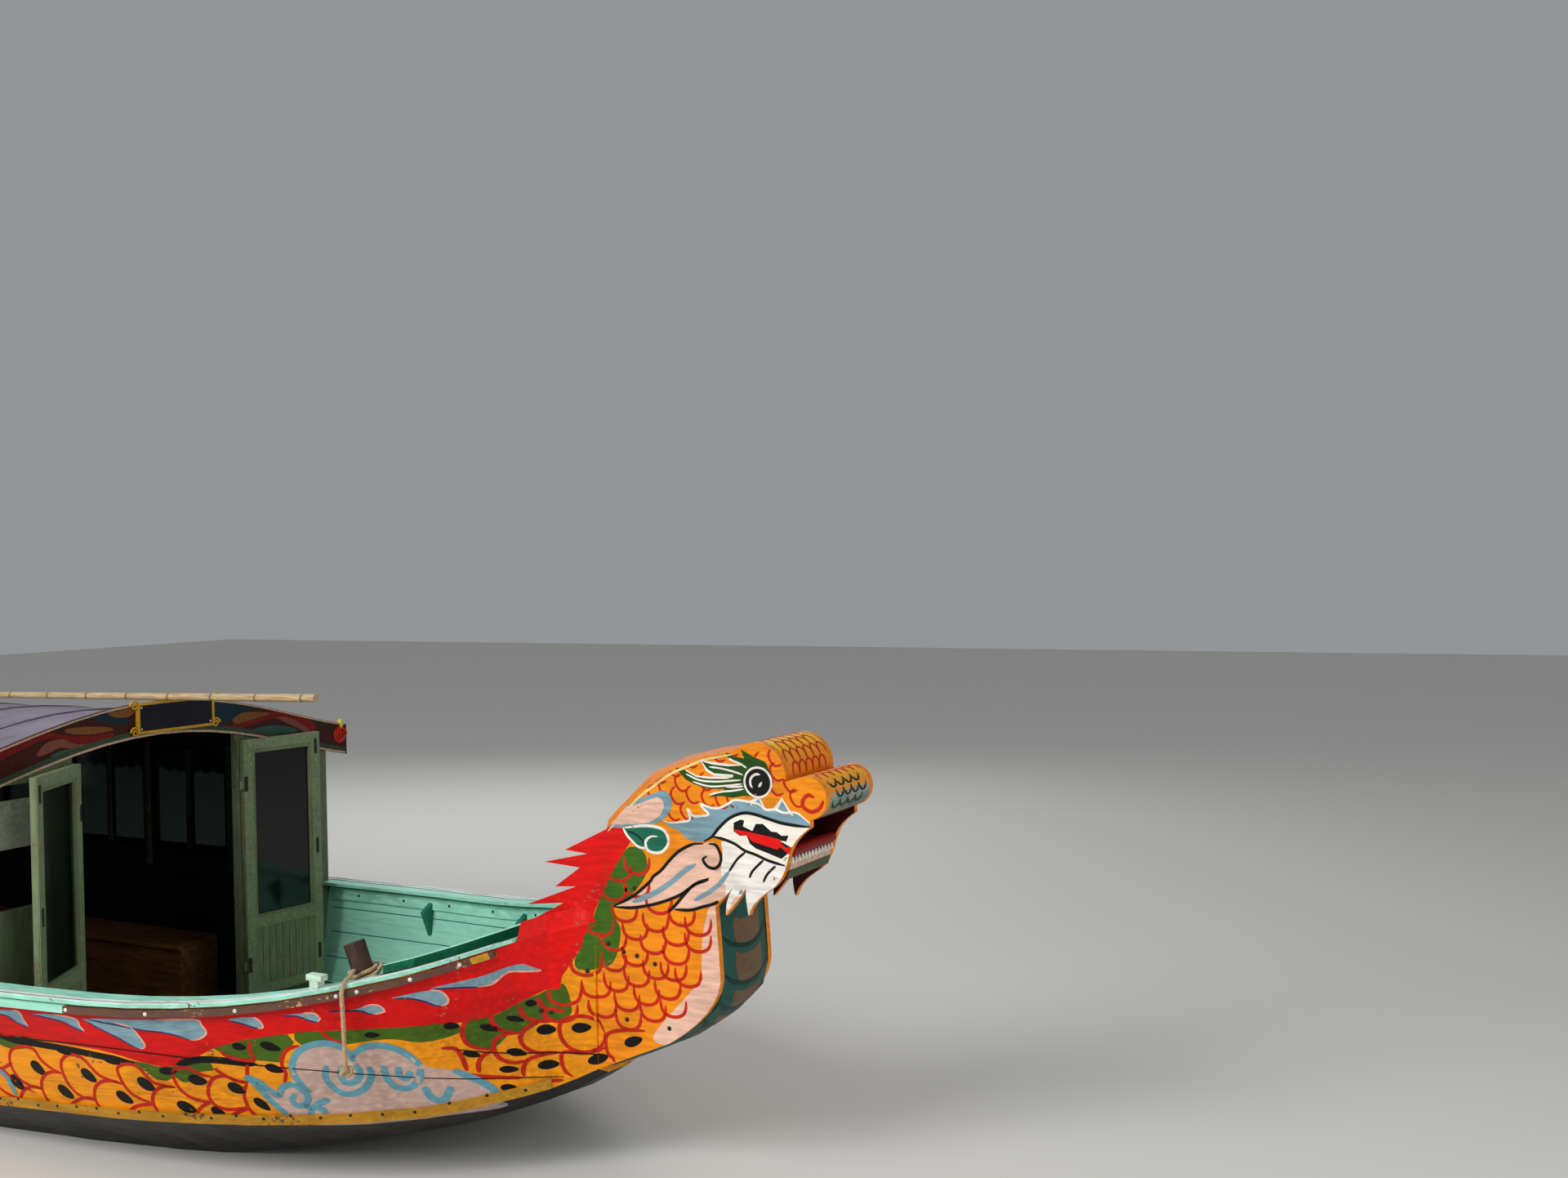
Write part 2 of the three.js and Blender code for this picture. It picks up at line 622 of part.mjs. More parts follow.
function headOutline() {
  const shape = new THREE.Shape();
  shape.moveTo(BOW_BULKHEAD_X + GAP, 520);
  shape.quadraticCurveTo(5660, 612, 5844, 690);
  shape.quadraticCurveTo(6100, 850, 6118, 1000);
  shape.quadraticCurveTo(6118, 1060, 6098, 1335);
  shape.lineTo(6190, 1430);
  shape.quadraticCurveTo(6148, 1372, 6152, 1303);
  shape.quadraticCurveTo(6196, 1350, 6256, 1432);
  shape.quadraticCurveTo(6252, 1370, 6268, 1313);
  shape.quadraticCurveTo(6290, 1376, 6365, 1427);
  shape.quadraticCurveTo(6436, 1468, 6460, 1549);
  shape.lineTo(6476, 1600);
  shape.quadraticCurveTo(6496, 1668, 6580, 1722);
  shape.absarc(NOSE_ROLL.x, NOSE_ROLL.z, NOSE_ROLL.radius, -1.42, 1.85, false);
  shape.lineTo(6447, 1914);
  shape.absarc(BROW_ROLL.x, BROW_ROLL.z, BROW_ROLL.radius, -0.18, 2.15, false);
  for (const [x, z] of NAPE.slice(0, 5)) {
    shape.lineTo(x, z);
  }
  for (const [tipX, tipZ, notchX, notchZ] of MANE_FLAMES) {
    shape.lineTo(tipX, tipZ);
    shape.lineTo(notchX, notchZ);
  }
  shape.lineTo(5380, 1225);
  shape.lineTo(BOW_BULKHEAD_X + GAP, 1225);
  shape.closePath();
  return shape;
}

function buildHead() {
  const inside = HEAD_HALF_WIDTH - HEAD_BOARD - GAP;
  const side = boardXZ(headOutline(), HEAD_HALF_WIDTH - HEAD_BOARD, HEAD_HALF_WIDTH, 6);
  bothSides('head_side', indexed(side), 'dragonOrange');

  const rollBetween = (roll, growth = 0) => (
    cylinderY(roll.x, roll.z, roll.radius + growth, -inside - growth, inside + growth, ROLL_SEGMENTS));
  const rollSeats = [BROW_ROLL, NOSE_ROLL].map((roll) => rollBetween(roll, GAP));

  const across = [-1, -0.55, 0, 0.55, 1];
  const nape = NAPE.map(([edgeX, edgeZ, ridgeX, ridgeZ], k) => {
    const before = NAPE[Math.max(k - 1, 0)];
    const after = NAPE[Math.min(k + 1, NAPE.length - 1)];
    const along = new THREE.Vector2(before[0] - after[0], before[1] - after[1]).normalize();
    const skin = (share, depth) => {
      const rise = 1 - Math.abs(share) ** 1.6;
      const x = edgeX + (ridgeX - edgeX) * rise + along.y * depth;
      const z = edgeZ + (ridgeZ - edgeZ) * rise - along.x * depth;
      return new THREE.Vector3(x, share * inside, z);
    };
    const inner = across.toReversed().map((share) => skin(share, NAPE_THICKNESS));
    return [...across.map((share) => skin(share, 0)), ...inner];
  });
  addPiece('nape', cut(ringLoft(nape), ...rollSeats), 'dragonOrange');

  const belly = BELLY.map(([x, z], k) => {
    const before = BELLY[Math.max(k - 1, 0)];
    const after = BELLY[Math.min(k + 1, BELLY.length - 1)];
    const along = new THREE.Vector2(after[0] - before[0], after[1] - before[1]).normalize();
    const skin = (share, depth) => {
      const out = BELLY_BULGE * (1 - share * share) - depth;
      return new THREE.Vector3(x - along.y * out, share * inside, z + along.x * out);
    };
    const inner = across.toReversed().map((share) => skin(share, BELLY_THICKNESS));
    return [...across.map((share) => skin(share, 0)), ...inner];
  });
  const bulkhead = box([BOW_BULKHEAD_X - 200, -300, 300], [BOW_BULKHEAD_X + GAP, 300, 900]);
  addPiece('belly', cut(ringLoft(belly), bulkhead), 'bellyTeal');

  addPiece('brow_roll', rollBetween(BROW_ROLL), 'dragonOrange');
  addPiece('nose_roll', rollBetween(NOSE_ROLL), 'dragonOrange');
  addPiece('snout_top', cut(boardXZ(outline(SNOUT_TOP), -inside, inside), ...rollSeats), 'dragonOrange');
  addPiece('upper_jaw', cut(boardXZ(outline(PALATE), -inside, inside), ...rollSeats), 'dragonRed');
  const jaw = boardXZ(outline(LOWER_JAW), -inside, inside);
  addPiece('lower_jaw', cut(jaw, rollBetween(LIP_ROLL, GAP)), 'jawTan');
  addPiece('lip_roll', rollBetween(LIP_ROLL), 'dragonRed');
}

// Main cabin

// Height of a vaulted roof's top above the water at y, for a crown and a half width.
function archZ(y, crown, halfWidth = ROOF_HALF_WIDTH) {
  const v = y / halfWidth * 1.5;
  return crown - ARCH_SQUARE * v * v + ARCH_FOURTH * v ** 4;
}

// Points across an arch from starboard to port, as [y, z].
function archLine(crown, halfWidth, drop, span = halfWidth, steps = 16) {
  const points = [];
  for (let k = 0; k <= steps; k++) {
    const y = -span + 2 * span * k / steps;
    points.push([y, archZ(y, crown, halfWidth) - drop]);
  }
  return points;
}

function archBand(crown, halfWidth, topDrop, bottomDrop, span = halfWidth) {
  const top = archLine(crown, halfWidth, topDrop, span);
  const bottom = archLine(crown, halfWidth, bottomDrop, span).reverse();
  return outline([...top, ...bottom]);
}

function rectangle(fromAcross, toAcross, fromUp, toUp) {
  const path = new THREE.Path();
  path.moveTo(fromAcross, fromUp);
  path.lineTo(toAcross, fromUp);
  path.lineTo(toAcross, toUp);
  path.lineTo(fromAcross, toUp);
  return path;
}

// A long side wall that stands on the gunwale cap, its outer face at faceY, with a row of windows
// cut through it.
function sideWall(fromX, toX, topZ, faceY, windows) {
  const places = [fromX, ...PLACES.filter((x) => x > fromX && x < toX), toX];
  const foot = places.map((x) => [x, capTop(x) + GAP]);
  const board = boardXZ(outline([...foot, [toX, topZ], [fromX, topZ]]), faceY - WALL_THICKNESS, faceY);
  const bay = (toX - fromX) / windows.count;
  const openings = [];
  for (let k = 0; k < windows.count; k++) {
    const from = fromX + bay * k + windows.post / 2;
    const to = fromX + bay * (k + 1) - windows.post / 2;
    openings.push(box([from, faceY - 2 * WALL_THICKNESS, windows.sill],
      [to, faceY + WALL_THICKNESS, windows.head]));
  }
  return cut(board, ...openings);
}

function buildCabin() {
  const frameBack = CABIN_FRONT_X - FRAME_THICKNESS;
  const wallTop = archZ(WALL_HALF_WIDTH, ROOF_CROWN) - ROOF_THICKNESS - GAP * 2;
  const wall = sideWall(CABIN_AFT_X, frameBack - GAP, wallTop, WALL_HALF_WIDTH, CABIN_WINDOWS);
  bothSides('cabin_side', wall, 'wallWhite');
  const pane = rectangleBoard(CABIN_AFT_X, frameBack - GAP,
    CABIN_WINDOWS.sill - PANE_LAP, CABIN_WINDOWS.head + PANE_LAP);
  const paneY = WALL_HALF_WIDTH - WALL_THICKNESS - GAP;
  bothSides('cabin_glass', indexed(boardXZ(pane, paneY - PANE_THICKNESS, paneY)), 'glass');

  const skyBand = archBand(ROOF_CROWN, ROOF_HALF_WIDTH, -ABOVE_ROOF, ROOF_THICKNESS + GAP);
  const aboveCeiling = boardYZ(skyBand, CABIN_AFT_X - 100, CABIN_FRONT_X + 100);
  const bulkhead = bulkheadAt(frameBack, CABIN_FRONT_X, WALL_HALF_WIDTH, ROOF_CROWN);
  const doorTop = archLine(ROOF_CROWN, ROOF_HALF_WIDTH, FASCIA_DEPTH, DOOR_OPENING_HALF, 6);
  const threshold = [[-DOOR_OPENING_HALF, THRESHOLD_TOP], [DOOR_OPENING_HALF, THRESHOLD_TOP]];
  const doorway = outline([...threshold, ...doorTop.reverse()]);
  const cutters = [aboveCeiling, boardYZ(doorway, frameBack - 50, CABIN_FRONT_X + 50)];
  for (const side of [-1, 1]) {
    const [near, far] = ordered(SIDELIGHT.inner * side, SIDELIGHT.outer * side);
    cutters.push(box([frameBack - 50, near, SIDELIGHT.sill], [CABIN_FRONT_X + 50, far, SIDELIGHT.head]));
  }
  addPiece('front_frame', join(cut(bulkhead, ...cutters), ...hingePosts(), ...hingePins()), 'doorGreen');

  const fascia = archBand(ROOF_CROWN, ROOF_HALF_WIDTH, -FASCIA_RISE, FASCIA_DEPTH);
  addPiece('front_fascia', boardYZ(fascia, CABIN_FRONT_X + GAP, FASCIA_FRONT_X), 'fasciaRed');
  const plateBack = FASCIA_FRONT_X + GAP;
  const plate = box([plateBack, NAME_BOARD.y - NAME_BOARD.width / 2, NAME_BOARD.bottom],
    [plateBack + NAME_BOARD.thickness, NAME_BOARD.y + NAME_BOARD.width / 2, NAME_BOARD.top]);
  addPiece('number_board', plate, 'benchWood');

  const roofBand = archBand(ROOF_CROWN, ROOF_HALF_WIDTH, 0, ROOF_THICKNESS);
  addPiece('cabin_roof', boardYZ(roofBand, CABIN_AFT_X, CABIN_FRONT_X), 'roofGrey');
  const under = (y) => archZ(y, ROOF_CROWN) - ROOF_THICKNESS - GAP;
  const eaveInner = ROOF_HALF_WIDTH - EAVE.thickness;
  const eave = outline([[eaveInner, under(ROOF_HALF_WIDTH) + 2], [ROOF_HALF_WIDTH, under(ROOF_HALF_WIDTH)],
    [ROOF_HALF_WIDTH, EAVE.bottom], [eaveInner, EAVE.bottom]]);
  bothSides('eave', indexed(boardYZ(eave, CABIN_AFT_X, CABIN_FRONT_X)), 'gutterBlue');

  const seat = box([BENCH.fromX, BENCH.innerY, BENCH.top - BENCH.seat], [BENCH.toX, BENCH.outerY, BENCH.top]);
  const locker = box([BENCH.fromX, BENCH.innerY + BENCH.overhang, SOLE_TOP + GAP],
    [BENCH.toX, BENCH.outerY, BENCH.top - BENCH.seat + 1]);
  bothSides('bench', join(seat, locker), 'benchWood');
}

function rectangleBoard(fromAcross, toAcross, fromUp, toUp) {
  return outline([[fromAcross, fromUp], [toAcross, fromUp], [toAcross, toUp], [fromAcross, toUp]]);
}

function ordered(first, second) {
  return first < second ? [first, second] : [second, first];
}

// A flat bulkhead across the boat: it fills the hull from the sole to the gunwale and stands on the
// caps, span to each side, up to the height of top.
function bulkheadAt(backX, frontX, span, top, bottom = SOLE_TOP + GAP) {
  const foot = Math.max(capTop(backX), capTop(frontX)) + GAP;
  const upper = box([backX, -span, foot], [frontX, span, top]);
  const lower = common(box([backX, -span, bottom], [frontX, span, foot + 1]), cavity);
  const capBottom = Math.min(straightAt(sheerZ, backX), straightAt(sheerZ, frontX)) - GAP;
  const edge = Math.min(capInnerY(backX), capInnerY(frontX)) - GAP;
  const besideCaps = [-1, 1].map((side) => {
    const [near, far] = ordered(edge * side, (edge + 2 * CAP_WIDTH) * side);
    return box([backX - 10, near, capBottom], [frontX + 10, far, foot]);
  });
  return join(upper, cut(lower, ...besideCaps));
}

function hingePosts() {
  return [-1, 1].map((side) => {
    const [near, far] = ordered(DOOR_OPENING_HALF * side, (DOOR_OPENING_HALF + HINGE.postWidth) * side);
    return box([CABIN_FRONT_X - 1, near, DOOR_LEAF.bottom], [HINGE.postX, far, DOOR_LEAF.top]);
  });
}

function hingePins() {
  const pieces = [];
  for (const side of [-1, 1]) {
    const y = HINGE.y * side;
    for (const z of HINGE.heights) {
      pieces.push(box([HINGE.postX - HINGE.lugHalf, y - HINGE.lugHalf, z - HINGE.lugThickness],
        [HINGE.x + HINGE.lugHalf, y + HINGE.lugHalf, z]));
      pieces.push(pinZ(HINGE.x, y, HINGE.pinRadius, z - 2, z + HINGE.barrelHeight - 4));
    }
  }
  return pieces;
}

// One door leaf in its own frame: hinge axis on the Z axis, leaf running towards +Y when closed.
function doorLeaf() {
  const near = HINGE.edgeGap;
  const far = near + DOOR_LEAF.width;
  const half = DOOR_LEAF.thickness / 2;
  const panel = rectangleBoard(near, far, DOOR_LEAF.bottom, DOOR_LEAF.top);
  panel.holes.push(rectangle(near + STILE, far - STILE, LEAF_GLASS.sill, LEAF_GLASS.head));
  let leaf = boardYZ(panel, -half, half);
  const recess = box([half - 8, near + STILE, DOOR_LEAF.bottom + 90],
    [half + 10, far - STILE, LEAF_GLASS.sill - 80]);
  const notches = HINGE.heights.map((z) => (
    box([-half - 10, -40, z - HINGE.lugThickness - 6], [half + 10, near + 10, z + GAP])));
  leaf = cut(leaf, recess, ...notches);
  const barrels = HINGE.heights.map((z) => (
    pinZ(0, 0, HINGE.barrelRadius, z + GAP, z + HINGE.barrelHeight, 16)));
  const bores = HINGE.heights.map((z) => (
    pinZ(0, 0, HINGE.pinRadius + GAP, z - 20, z + HINGE.barrelHeight + 5)));
  return cut(join(leaf, ...barrels), ...bores);
}

function buildDoors() {
  const paneOutline = rectangleBoard(HINGE.edgeGap + STILE + GAP,
    HINGE.edgeGap + DOOR_LEAF.width - STILE - GAP, LEAF_GLASS.sill + GAP, LEAF_GLASS.head - GAP);
  const pane = boardYZ(paneOutline, -PANE_THICKNESS / 2, PANE_THICKNESS / 2);
  const doors = [
    ['port', 1, PORT_LEAF_OPEN_DEG],
    ['starboard', -1, STARBOARD_LEAF_OPEN_DEG],
  ];
  for (const [name, side, openDeg] of doors) {
    const hinge = new THREE.Group();
    hinge.position.set(HINGE.x, HINGE.y * side, 0);
    hinge.rotation.z = THREE.MathUtils.degToRad(openDeg) * side;
    group.add(hinge);
    const leaf = indexed(doorLeaf());
    const glass = indexed(pane);
    addPiece(`door_${name}`, side > 0 ? mirrored(leaf) : leaf, 'doorGreen', hinge);
    addPiece(`door_glass_${name}`, side > 0 ? mirrored(glass) : glass, 'glass', hinge);
  }
}

// Aft house, narrower towards the stern

function shearTowardsStern(geometry, slope, fromX) {
  const position = geometry.attributes.position;
  for (let k = 0; k < position.count; k++) {
    position.setY(k, position.getY(k) + slope * (position.getX(k) - fromX));
  }
  return geometry;
}

function houseRoofRing(x, halfWidth, topRise, bottomDrop) {
  const top = archLine(HOUSE_CROWN + topRise, halfWidth, 0);
  const bottom = archLine(HOUSE_CROWN - bottomDrop, halfWidth, 0).reverse();
  return [...top, ...bottom].map(([y, z]) => new THREE.Vector3(x, y, z));
}

function houseRoofForm(topRise, bottomDrop) {
  return ringLoft([
    houseRoofRing(HOUSE_ROOF.aftX, HOUSE_ROOF.aftHalf, topRise, bottomDrop),
    houseRoofRing(HOUSE_FRONT_X, HOUSE_ROOF.frontHalf, topRise, bottomDrop)]);
}

function buildHouse() {
  const aboveCeiling = houseRoofForm(ABOVE_ROOF, ROOF_THICKNESS + GAP);
  const tall = HOUSE_CROWN - 20;
  const aftX = HOUSE_AFT_X + FRAME_THICKNESS + GAP;
  const frontX = HOUSE_FRONT_X - FRAME_THICKNESS - GAP;
  const straightWall = sideWall(aftX, frontX, tall, HOUSE_WALL.frontY, HOUSE_WINDOWS);
  const wall = shearTowardsStern(straightWall, HOUSE_WALL.taper, HOUSE_FRONT_X);
  addPiece('house_side_port', cut(wall, aboveCeiling), 'wallWhite');
  addPiece('house_side_starboard', cut(mirrored(wall), aboveCeiling), 'wallWhite');
  const pane = rectangleBoard(aftX, frontX,
    HOUSE_WINDOWS.sill - PANE_LAP, HOUSE_WINDOWS.head + PANE_LAP);
  const paneY = HOUSE_WALL.frontY - WALL_THICKNESS - GAP;
  const glass = indexed(boardXZ(pane, paneY - PANE_THICKNESS, paneY));
  bothSides('house_glass', shearTowardsStern(glass, HOUSE_WALL.taper, HOUSE_FRONT_X), 'glass');

  addPiece('house_roof', houseRoofForm(0, ROOF_THICKNESS), 'houseRoof');

  const front = bulkheadAt(HOUSE_FRONT_X - FRAME_THICKNESS, HOUSE_FRONT_X, HOUSE_WALL.frontY, tall);
  const passage = box([HOUSE_FRONT_X - 100, -HOUSE_PASSAGE.half, HOUSE_PASSAGE.sill],
    [HOUSE_FRONT_X + 50, HOUSE_PASSAGE.half, HOUSE_PASSAGE.head]);
  addPiece('house_front', cut(front, aboveCeiling, passage), 'wallWhite');

  const houseLength = HOUSE_FRONT_X - HOUSE_AFT_X - FRAME_THICKNESS;
  const aftSpan = HOUSE_WALL.frontY - HOUSE_WALL.taper * houseLength - GAP;
  const aft = bulkheadAt(HOUSE_AFT_X, HOUSE_AFT_X + FRAME_THICKNESS, aftSpan, tall, 300);
  const doorway = box([HOUSE_AFT_X - 50, -HOUSE_AFT_DOORWAY.half, HOUSE_AFT_DOORWAY.sill],
    [HOUSE_AFT_X + 100, HOUSE_AFT_DOORWAY.half, HOUSE_AFT_DOORWAY.head]);
  addPiece('house_aft', cut(aft, aboveCeiling, doorway), 'wallWhite');

  const band = archBand(HOUSE_CROWN, HOUSE_ROOF.frontHalf, -HOUSE_FASCIA.rise, HOUSE_FASCIA.depth);
  const fascia = boardYZ(band, HOUSE_FRONT_X + GAP, HOUSE_FRONT_X + HOUSE_FASCIA.thickness);
  addPiece('house_fascia', fascia, 'fasciaTeal');

  const post = pinZ(MAST.x, 0, MAST.radius, HOUSE_CROWN - 60, MAST.top, 16);
  const foot = pinZ(MAST.x, 0, MAST.radius * 3, HOUSE_CROWN - 60, HOUSE_CROWN + 10, 16);
  const yard = box([MAST.x - 15, -MAST.yardHalf, MAST.yardZ - 15],
    [MAST.x + 15, MAST.yardHalf, MAST.yardZ + 15]);
  const lamp = pinZ(MAST.x, 0, MAST.lampRadius, MAST.top - 5, MAST.top + MAST.lampHeight, 16);
  const roofSeat = houseRoofForm(GAP, ROOF_THICKNESS * 8);
  addPiece('nav_mast', cut(join(post, foot, yard, lamp), roofSeat), 'mastBlue');
}

// A bamboo pole that lies along the ridge, its thick end out over the fascia.
function buildRoofPole() {
  const span = FASCIA_FRONT_X - POLE.fromX;
  const slope = (FASCIA_RISE + POLE.frontRadius - POLE.aftRadius) / span;
  const length = POLE.toX - POLE.fromX;
  const pole = new THREE.CylinderGeometry(POLE.aftRadius, POLE.frontRadius, length, 14)
    .rotateZ(Math.PI / 2)
    .translate(length / 2, 0, POLE.aftRadius)
    .rotateY(-Math.atan(slope))
    .translate(POLE.fromX, 0, ROOF_CROWN + GAP);
  const fasciaBand = archBand(ROOF_CROWN, ROOF_HALF_WIDTH, -FASCIA_RISE - GAP, 0);
  const fasciaForm = boardYZ(fasciaBand, CABIN_FRONT_X, FASCIA_FRONT_X + GAP);
  const roofBand = archBand(ROOF_CROWN, ROOF_HALF_WIDTH, -GAP, 200);
  const roofForm = boardYZ(roofBand, CABIN_AFT_X, CABIN_FRONT_X);
  addPiece('bamboo_pole', cut(pole, fasciaForm, roofForm), 'bamboo');
}

// Stern: two scrolled boards and a curved plank between them, and a rail round the deck

function tailOutline() {
  const shape = new THREE.Shape();
  shape.moveTo(TRANSOM_X - GAP, 770);
  shape.quadraticCurveTo(-6640, 870, -6790, 1190);
  shape.quadraticCurveTo(-6880, 1400, -6935, 1690);
  shape.quadraticCurveTo(-6968, 1890, -6850, 1900);
  shape.quadraticCurveTo(-6742, 1890, -6745, 1800);
  shape.quadraticCurveTo(-6765, 1735, -6826, 1765);
  shape.quadraticCurveTo(-6800, 1620, -6720, 1520);
  shape.quadraticCurveTo(-6600, 1390, TRANSOM_X - GAP, 1345);
  return shape;
}

// Curved plank between the tail boards, in columns: x, z
const TAIL_PLANK = [
  [-6306, 800], [-6480, 862], [-6620, 960], [-6730, 1110], [-6800, 1280], [-6860, 1480], [-6895, 1680],
];

function buildStern() {
  const board = boardXZ(tailOutline(), TAIL_HALF_WIDTH - HEAD_BOARD, TAIL_HALF_WIDTH, 6);
  bothSides('tail_side', indexed(board), 'tailBlue');
  const inside = TAIL_HALF_WIDTH - HEAD_BOARD - GAP;
  const rings = TAIL_PLANK.map(([x, z], k) => {
    const before = TAIL_PLANK[Math.max(k - 1, 0)];
    const after = TAIL_PLANK[Math.min(k + 1, TAIL_PLANK.length - 1)];
    const along = new THREE.Vector2(after[0] - before[0], after[1] - before[1]).normalize();
    const corner = (y, depth) => new THREE.Vector3(x + along.y * depth, y, z - along.x * depth);
    return [
      corner(-inside, 0), corner(inside, 0),
      corner(inside, BELLY_THICKNESS), corner(-inside, BELLY_THICKNESS)];
  });
  const transomSide = box([TRANSOM_X - GAP, -400, 600], [TRANSOM_X + 300, 400, 1500]);
  addPiece('tail_plank', cut(ringLoft(rings), transomSide), 'dragonOrange');

  const railHalf = STERN_RAIL.thickness / 2;
  const railY = (x) => capInnerY(x) + CAP_WIDTH / 2;
  const rail = sideBand((x) => {
    const y = hullValue(COLUMN.gunwaleBeam, x) + CAP_OVERHANG - CAP_WIDTH / 2;
    const top = sheerZ(x) + STERN_RAIL.height;
    return [
      [y + railHalf, top - STERN_RAIL.thickness], [y + railHalf, top],
      [y - railHalf, top], [y - railHalf, top - STERN_RAIL.thickness]];
  }, STERN_RAIL.aftX, STERN_RAIL.forwardX);
  const posts = STERN_RAIL.posts.map((x) => {
    const y = railY(x);
    const foot = Math.max(capTop(x - railHalf), capTop(x + railHalf)) + GAP;
    const head = sheerZ(x) + STERN_RAIL.height - 10;
    return box([x - railHalf, y - railHalf, foot], [x + railHalf, y + railHalf, head]);
  });
  const side = join(rail, ...posts);
  const aftTop = sheerZ(STERN_RAIL.aftX) + STERN_RAIL.height;
  const aftY = railY(STERN_RAIL.aftX);
  const cross = box([STERN_RAIL.aftX - 2, -aftY, aftTop - STERN_RAIL.thickness],
    [STERN_RAIL.aftX + STERN_RAIL.thickness - 2, aftY, aftTop]);
  addPiece('stern_rail', join(side, mirrored(side), cross), 'gutterBlue');
}

// Blade outline, in columns: x, z
const RUDDER_BLADE = [
  [-5985, -300], [-5985, 330], [-6080, 400], [-6330, 480], [-6400, 300], [-6420, -240], [-6360, -300],
];

function buildRunningGear() {
  const half = RUDDER.bladeThickness / 2;
  const blade = boardXZ(outline(RUDDER_BLADE), -half, half);
  const stock = pinZ(RUDDER.stockX, 0, RUDDER.stockRadius, 250, RUDDER.stockTop, 20);
  const tiller = box([RUDDER.stockX - 30, -RUDDER.tillerHalf, RUDDER.tillerBottom],
    [RUDDER.tillerForwardX, RUDDER.tillerHalf, RUDDER.tillerTop]);
  addPiece('rudder', join(blade, stock, tiller), 'iron');

  const blades = [0, 1, 2].map((k) => propellerBlade().rotateX(k * 2 * Math.PI / 3));
  const hub = cylinderX(0, PROPELLER.hubRadius, -PROPELLER.hubHalf, PROPELLER.hubHalf);
  const shaft = cylinderX(0, PROPELLER.shaftRadius, 0, PROPELLER.shaftEndX - PROPELLER.x);
  addPiece('propeller', join(hub, shaft, ...blades).translate(PROPELLER.x, 0, PROPELLER.z), 'bronze');

  const engine = join(
    box([ENGINE.fromX, -ENGINE.half, SOLE_TOP + GAP], [ENGINE.toX, ENGINE.half, SOLE_TOP + 180]),
    box([ENGINE.fromX + 60, -ENGINE.half + 90, SOLE_TOP + 170],
      [ENGINE.toX - 60, ENGINE.half - 90, ENGINE.top]));
  addPiece('engine_block', engine, 'engineGrey');
}

// One blade standing up from the shaft, in columns: radius, half chord, pitch in degrees, half thickness
const BLADE_SECTIONS = [[20, 34, 62, 8], [75, 50, 46, 6], [130, 52, 34, 4], [165, 26, 28, 3]];

function propellerBlade() {
  return ringLoft(BLADE_SECTIONS.map(([radius, halfChord, pitchDeg, halfThickness]) => {
    const pitch = THREE.MathUtils.degToRad(pitchDeg);
    const corner = (chord, depth) => new THREE.Vector3(chord, depth, radius)
      .applyAxisAngle(new THREE.Vector3(0, 0, 1), pitch);
    return [corner(-halfChord, 0), corner(0, -halfThickness), corner(halfChord, 0), corner(0, halfThickness)];
  }));
}

buildHull();
buildSheerFittings();
buildDecks();
buildBowWell();
buildHead();
buildCabin();
buildDoors();
buildHouse();
buildRoofPole();
buildStern();
buildRunningGear();

export default group;
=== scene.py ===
import math

import bmesh
import bpy
from mathutils import Matrix, Vector
from mathutils.bvhtree import BVHTree
from mathutils.geometry import delaunay_2d_cdt


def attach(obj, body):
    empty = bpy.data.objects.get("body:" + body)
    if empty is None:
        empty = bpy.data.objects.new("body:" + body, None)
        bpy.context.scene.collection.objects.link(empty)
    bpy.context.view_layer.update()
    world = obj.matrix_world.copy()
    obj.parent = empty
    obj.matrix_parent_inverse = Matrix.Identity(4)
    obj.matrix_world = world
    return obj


bl_info = {
    "name": "Dragon boat",
    "version": (1, 0, 0),
    "blender": (4, 5, 0),
    "location": "3D View > Sidebar > Boat",
    "description": "Dresses the dragon boat's solids with paint, trim and fittings",
    "category": "Object",
}

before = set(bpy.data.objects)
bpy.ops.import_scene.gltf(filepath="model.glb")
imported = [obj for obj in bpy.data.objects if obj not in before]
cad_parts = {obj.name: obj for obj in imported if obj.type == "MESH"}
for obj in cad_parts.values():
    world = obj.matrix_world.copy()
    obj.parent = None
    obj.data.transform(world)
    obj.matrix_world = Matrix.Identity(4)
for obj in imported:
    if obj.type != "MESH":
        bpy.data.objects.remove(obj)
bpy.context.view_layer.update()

# Sizes are in millimetres in the boat's frame unless a comment says metres. MM turns them into metres.
MM = 0.001
# Paint lies in coats on the planking. Each coat stands this much prouder than the one below it.
COAT = 0.45
# Foot of a painted shape, sunk into the wood below it so that no edge stands clear.
FOOT = 0.3

HEAD_HALF_WIDTH = 242
BROW_ROLL = {"x": 6319, "z": 1941, "radius": 142}
NOSE_ROLL = {"x": 6566, "z": 1850, "radius": 95}
EYE = (6326, 1908)
CABIN_FRONT_X = 2280
STERN_X = -6290
RAIL_HEIGHT = 34
# Where the gunwale caps start and end, by x
CAP_SPAN = (-6200, 5090)
# Bolt heads on the rail where the photo shows them, by x
RAIL_BOLTS = [5000, 4840, 4640, 4560]
# The bollard's foot on its axis, the axis, and its radius
BOLLARD = {"foot": (4550, -740, 825), "axis": (-0.2955, -0.0954, 0.9506), "radius": 50}
# Rope radius over the crowns of its strands, in metres
ROPE_RADIUS = 0.011
# How far each door leaf stands open at rest, in degrees, by side: -1 starboard, 1 port
DOOR_OPEN = {-1: 150, 1: 172}
# The photo's camera: where it stands in metres, how it is turned in degrees, its lens for a 36 mm wide frame
CAMERA = {"place": (9.67, -6.34, 2.89), "yaw": 27.68, "pitch": 1.10, "roll": -0.96, "lens": 36.375}

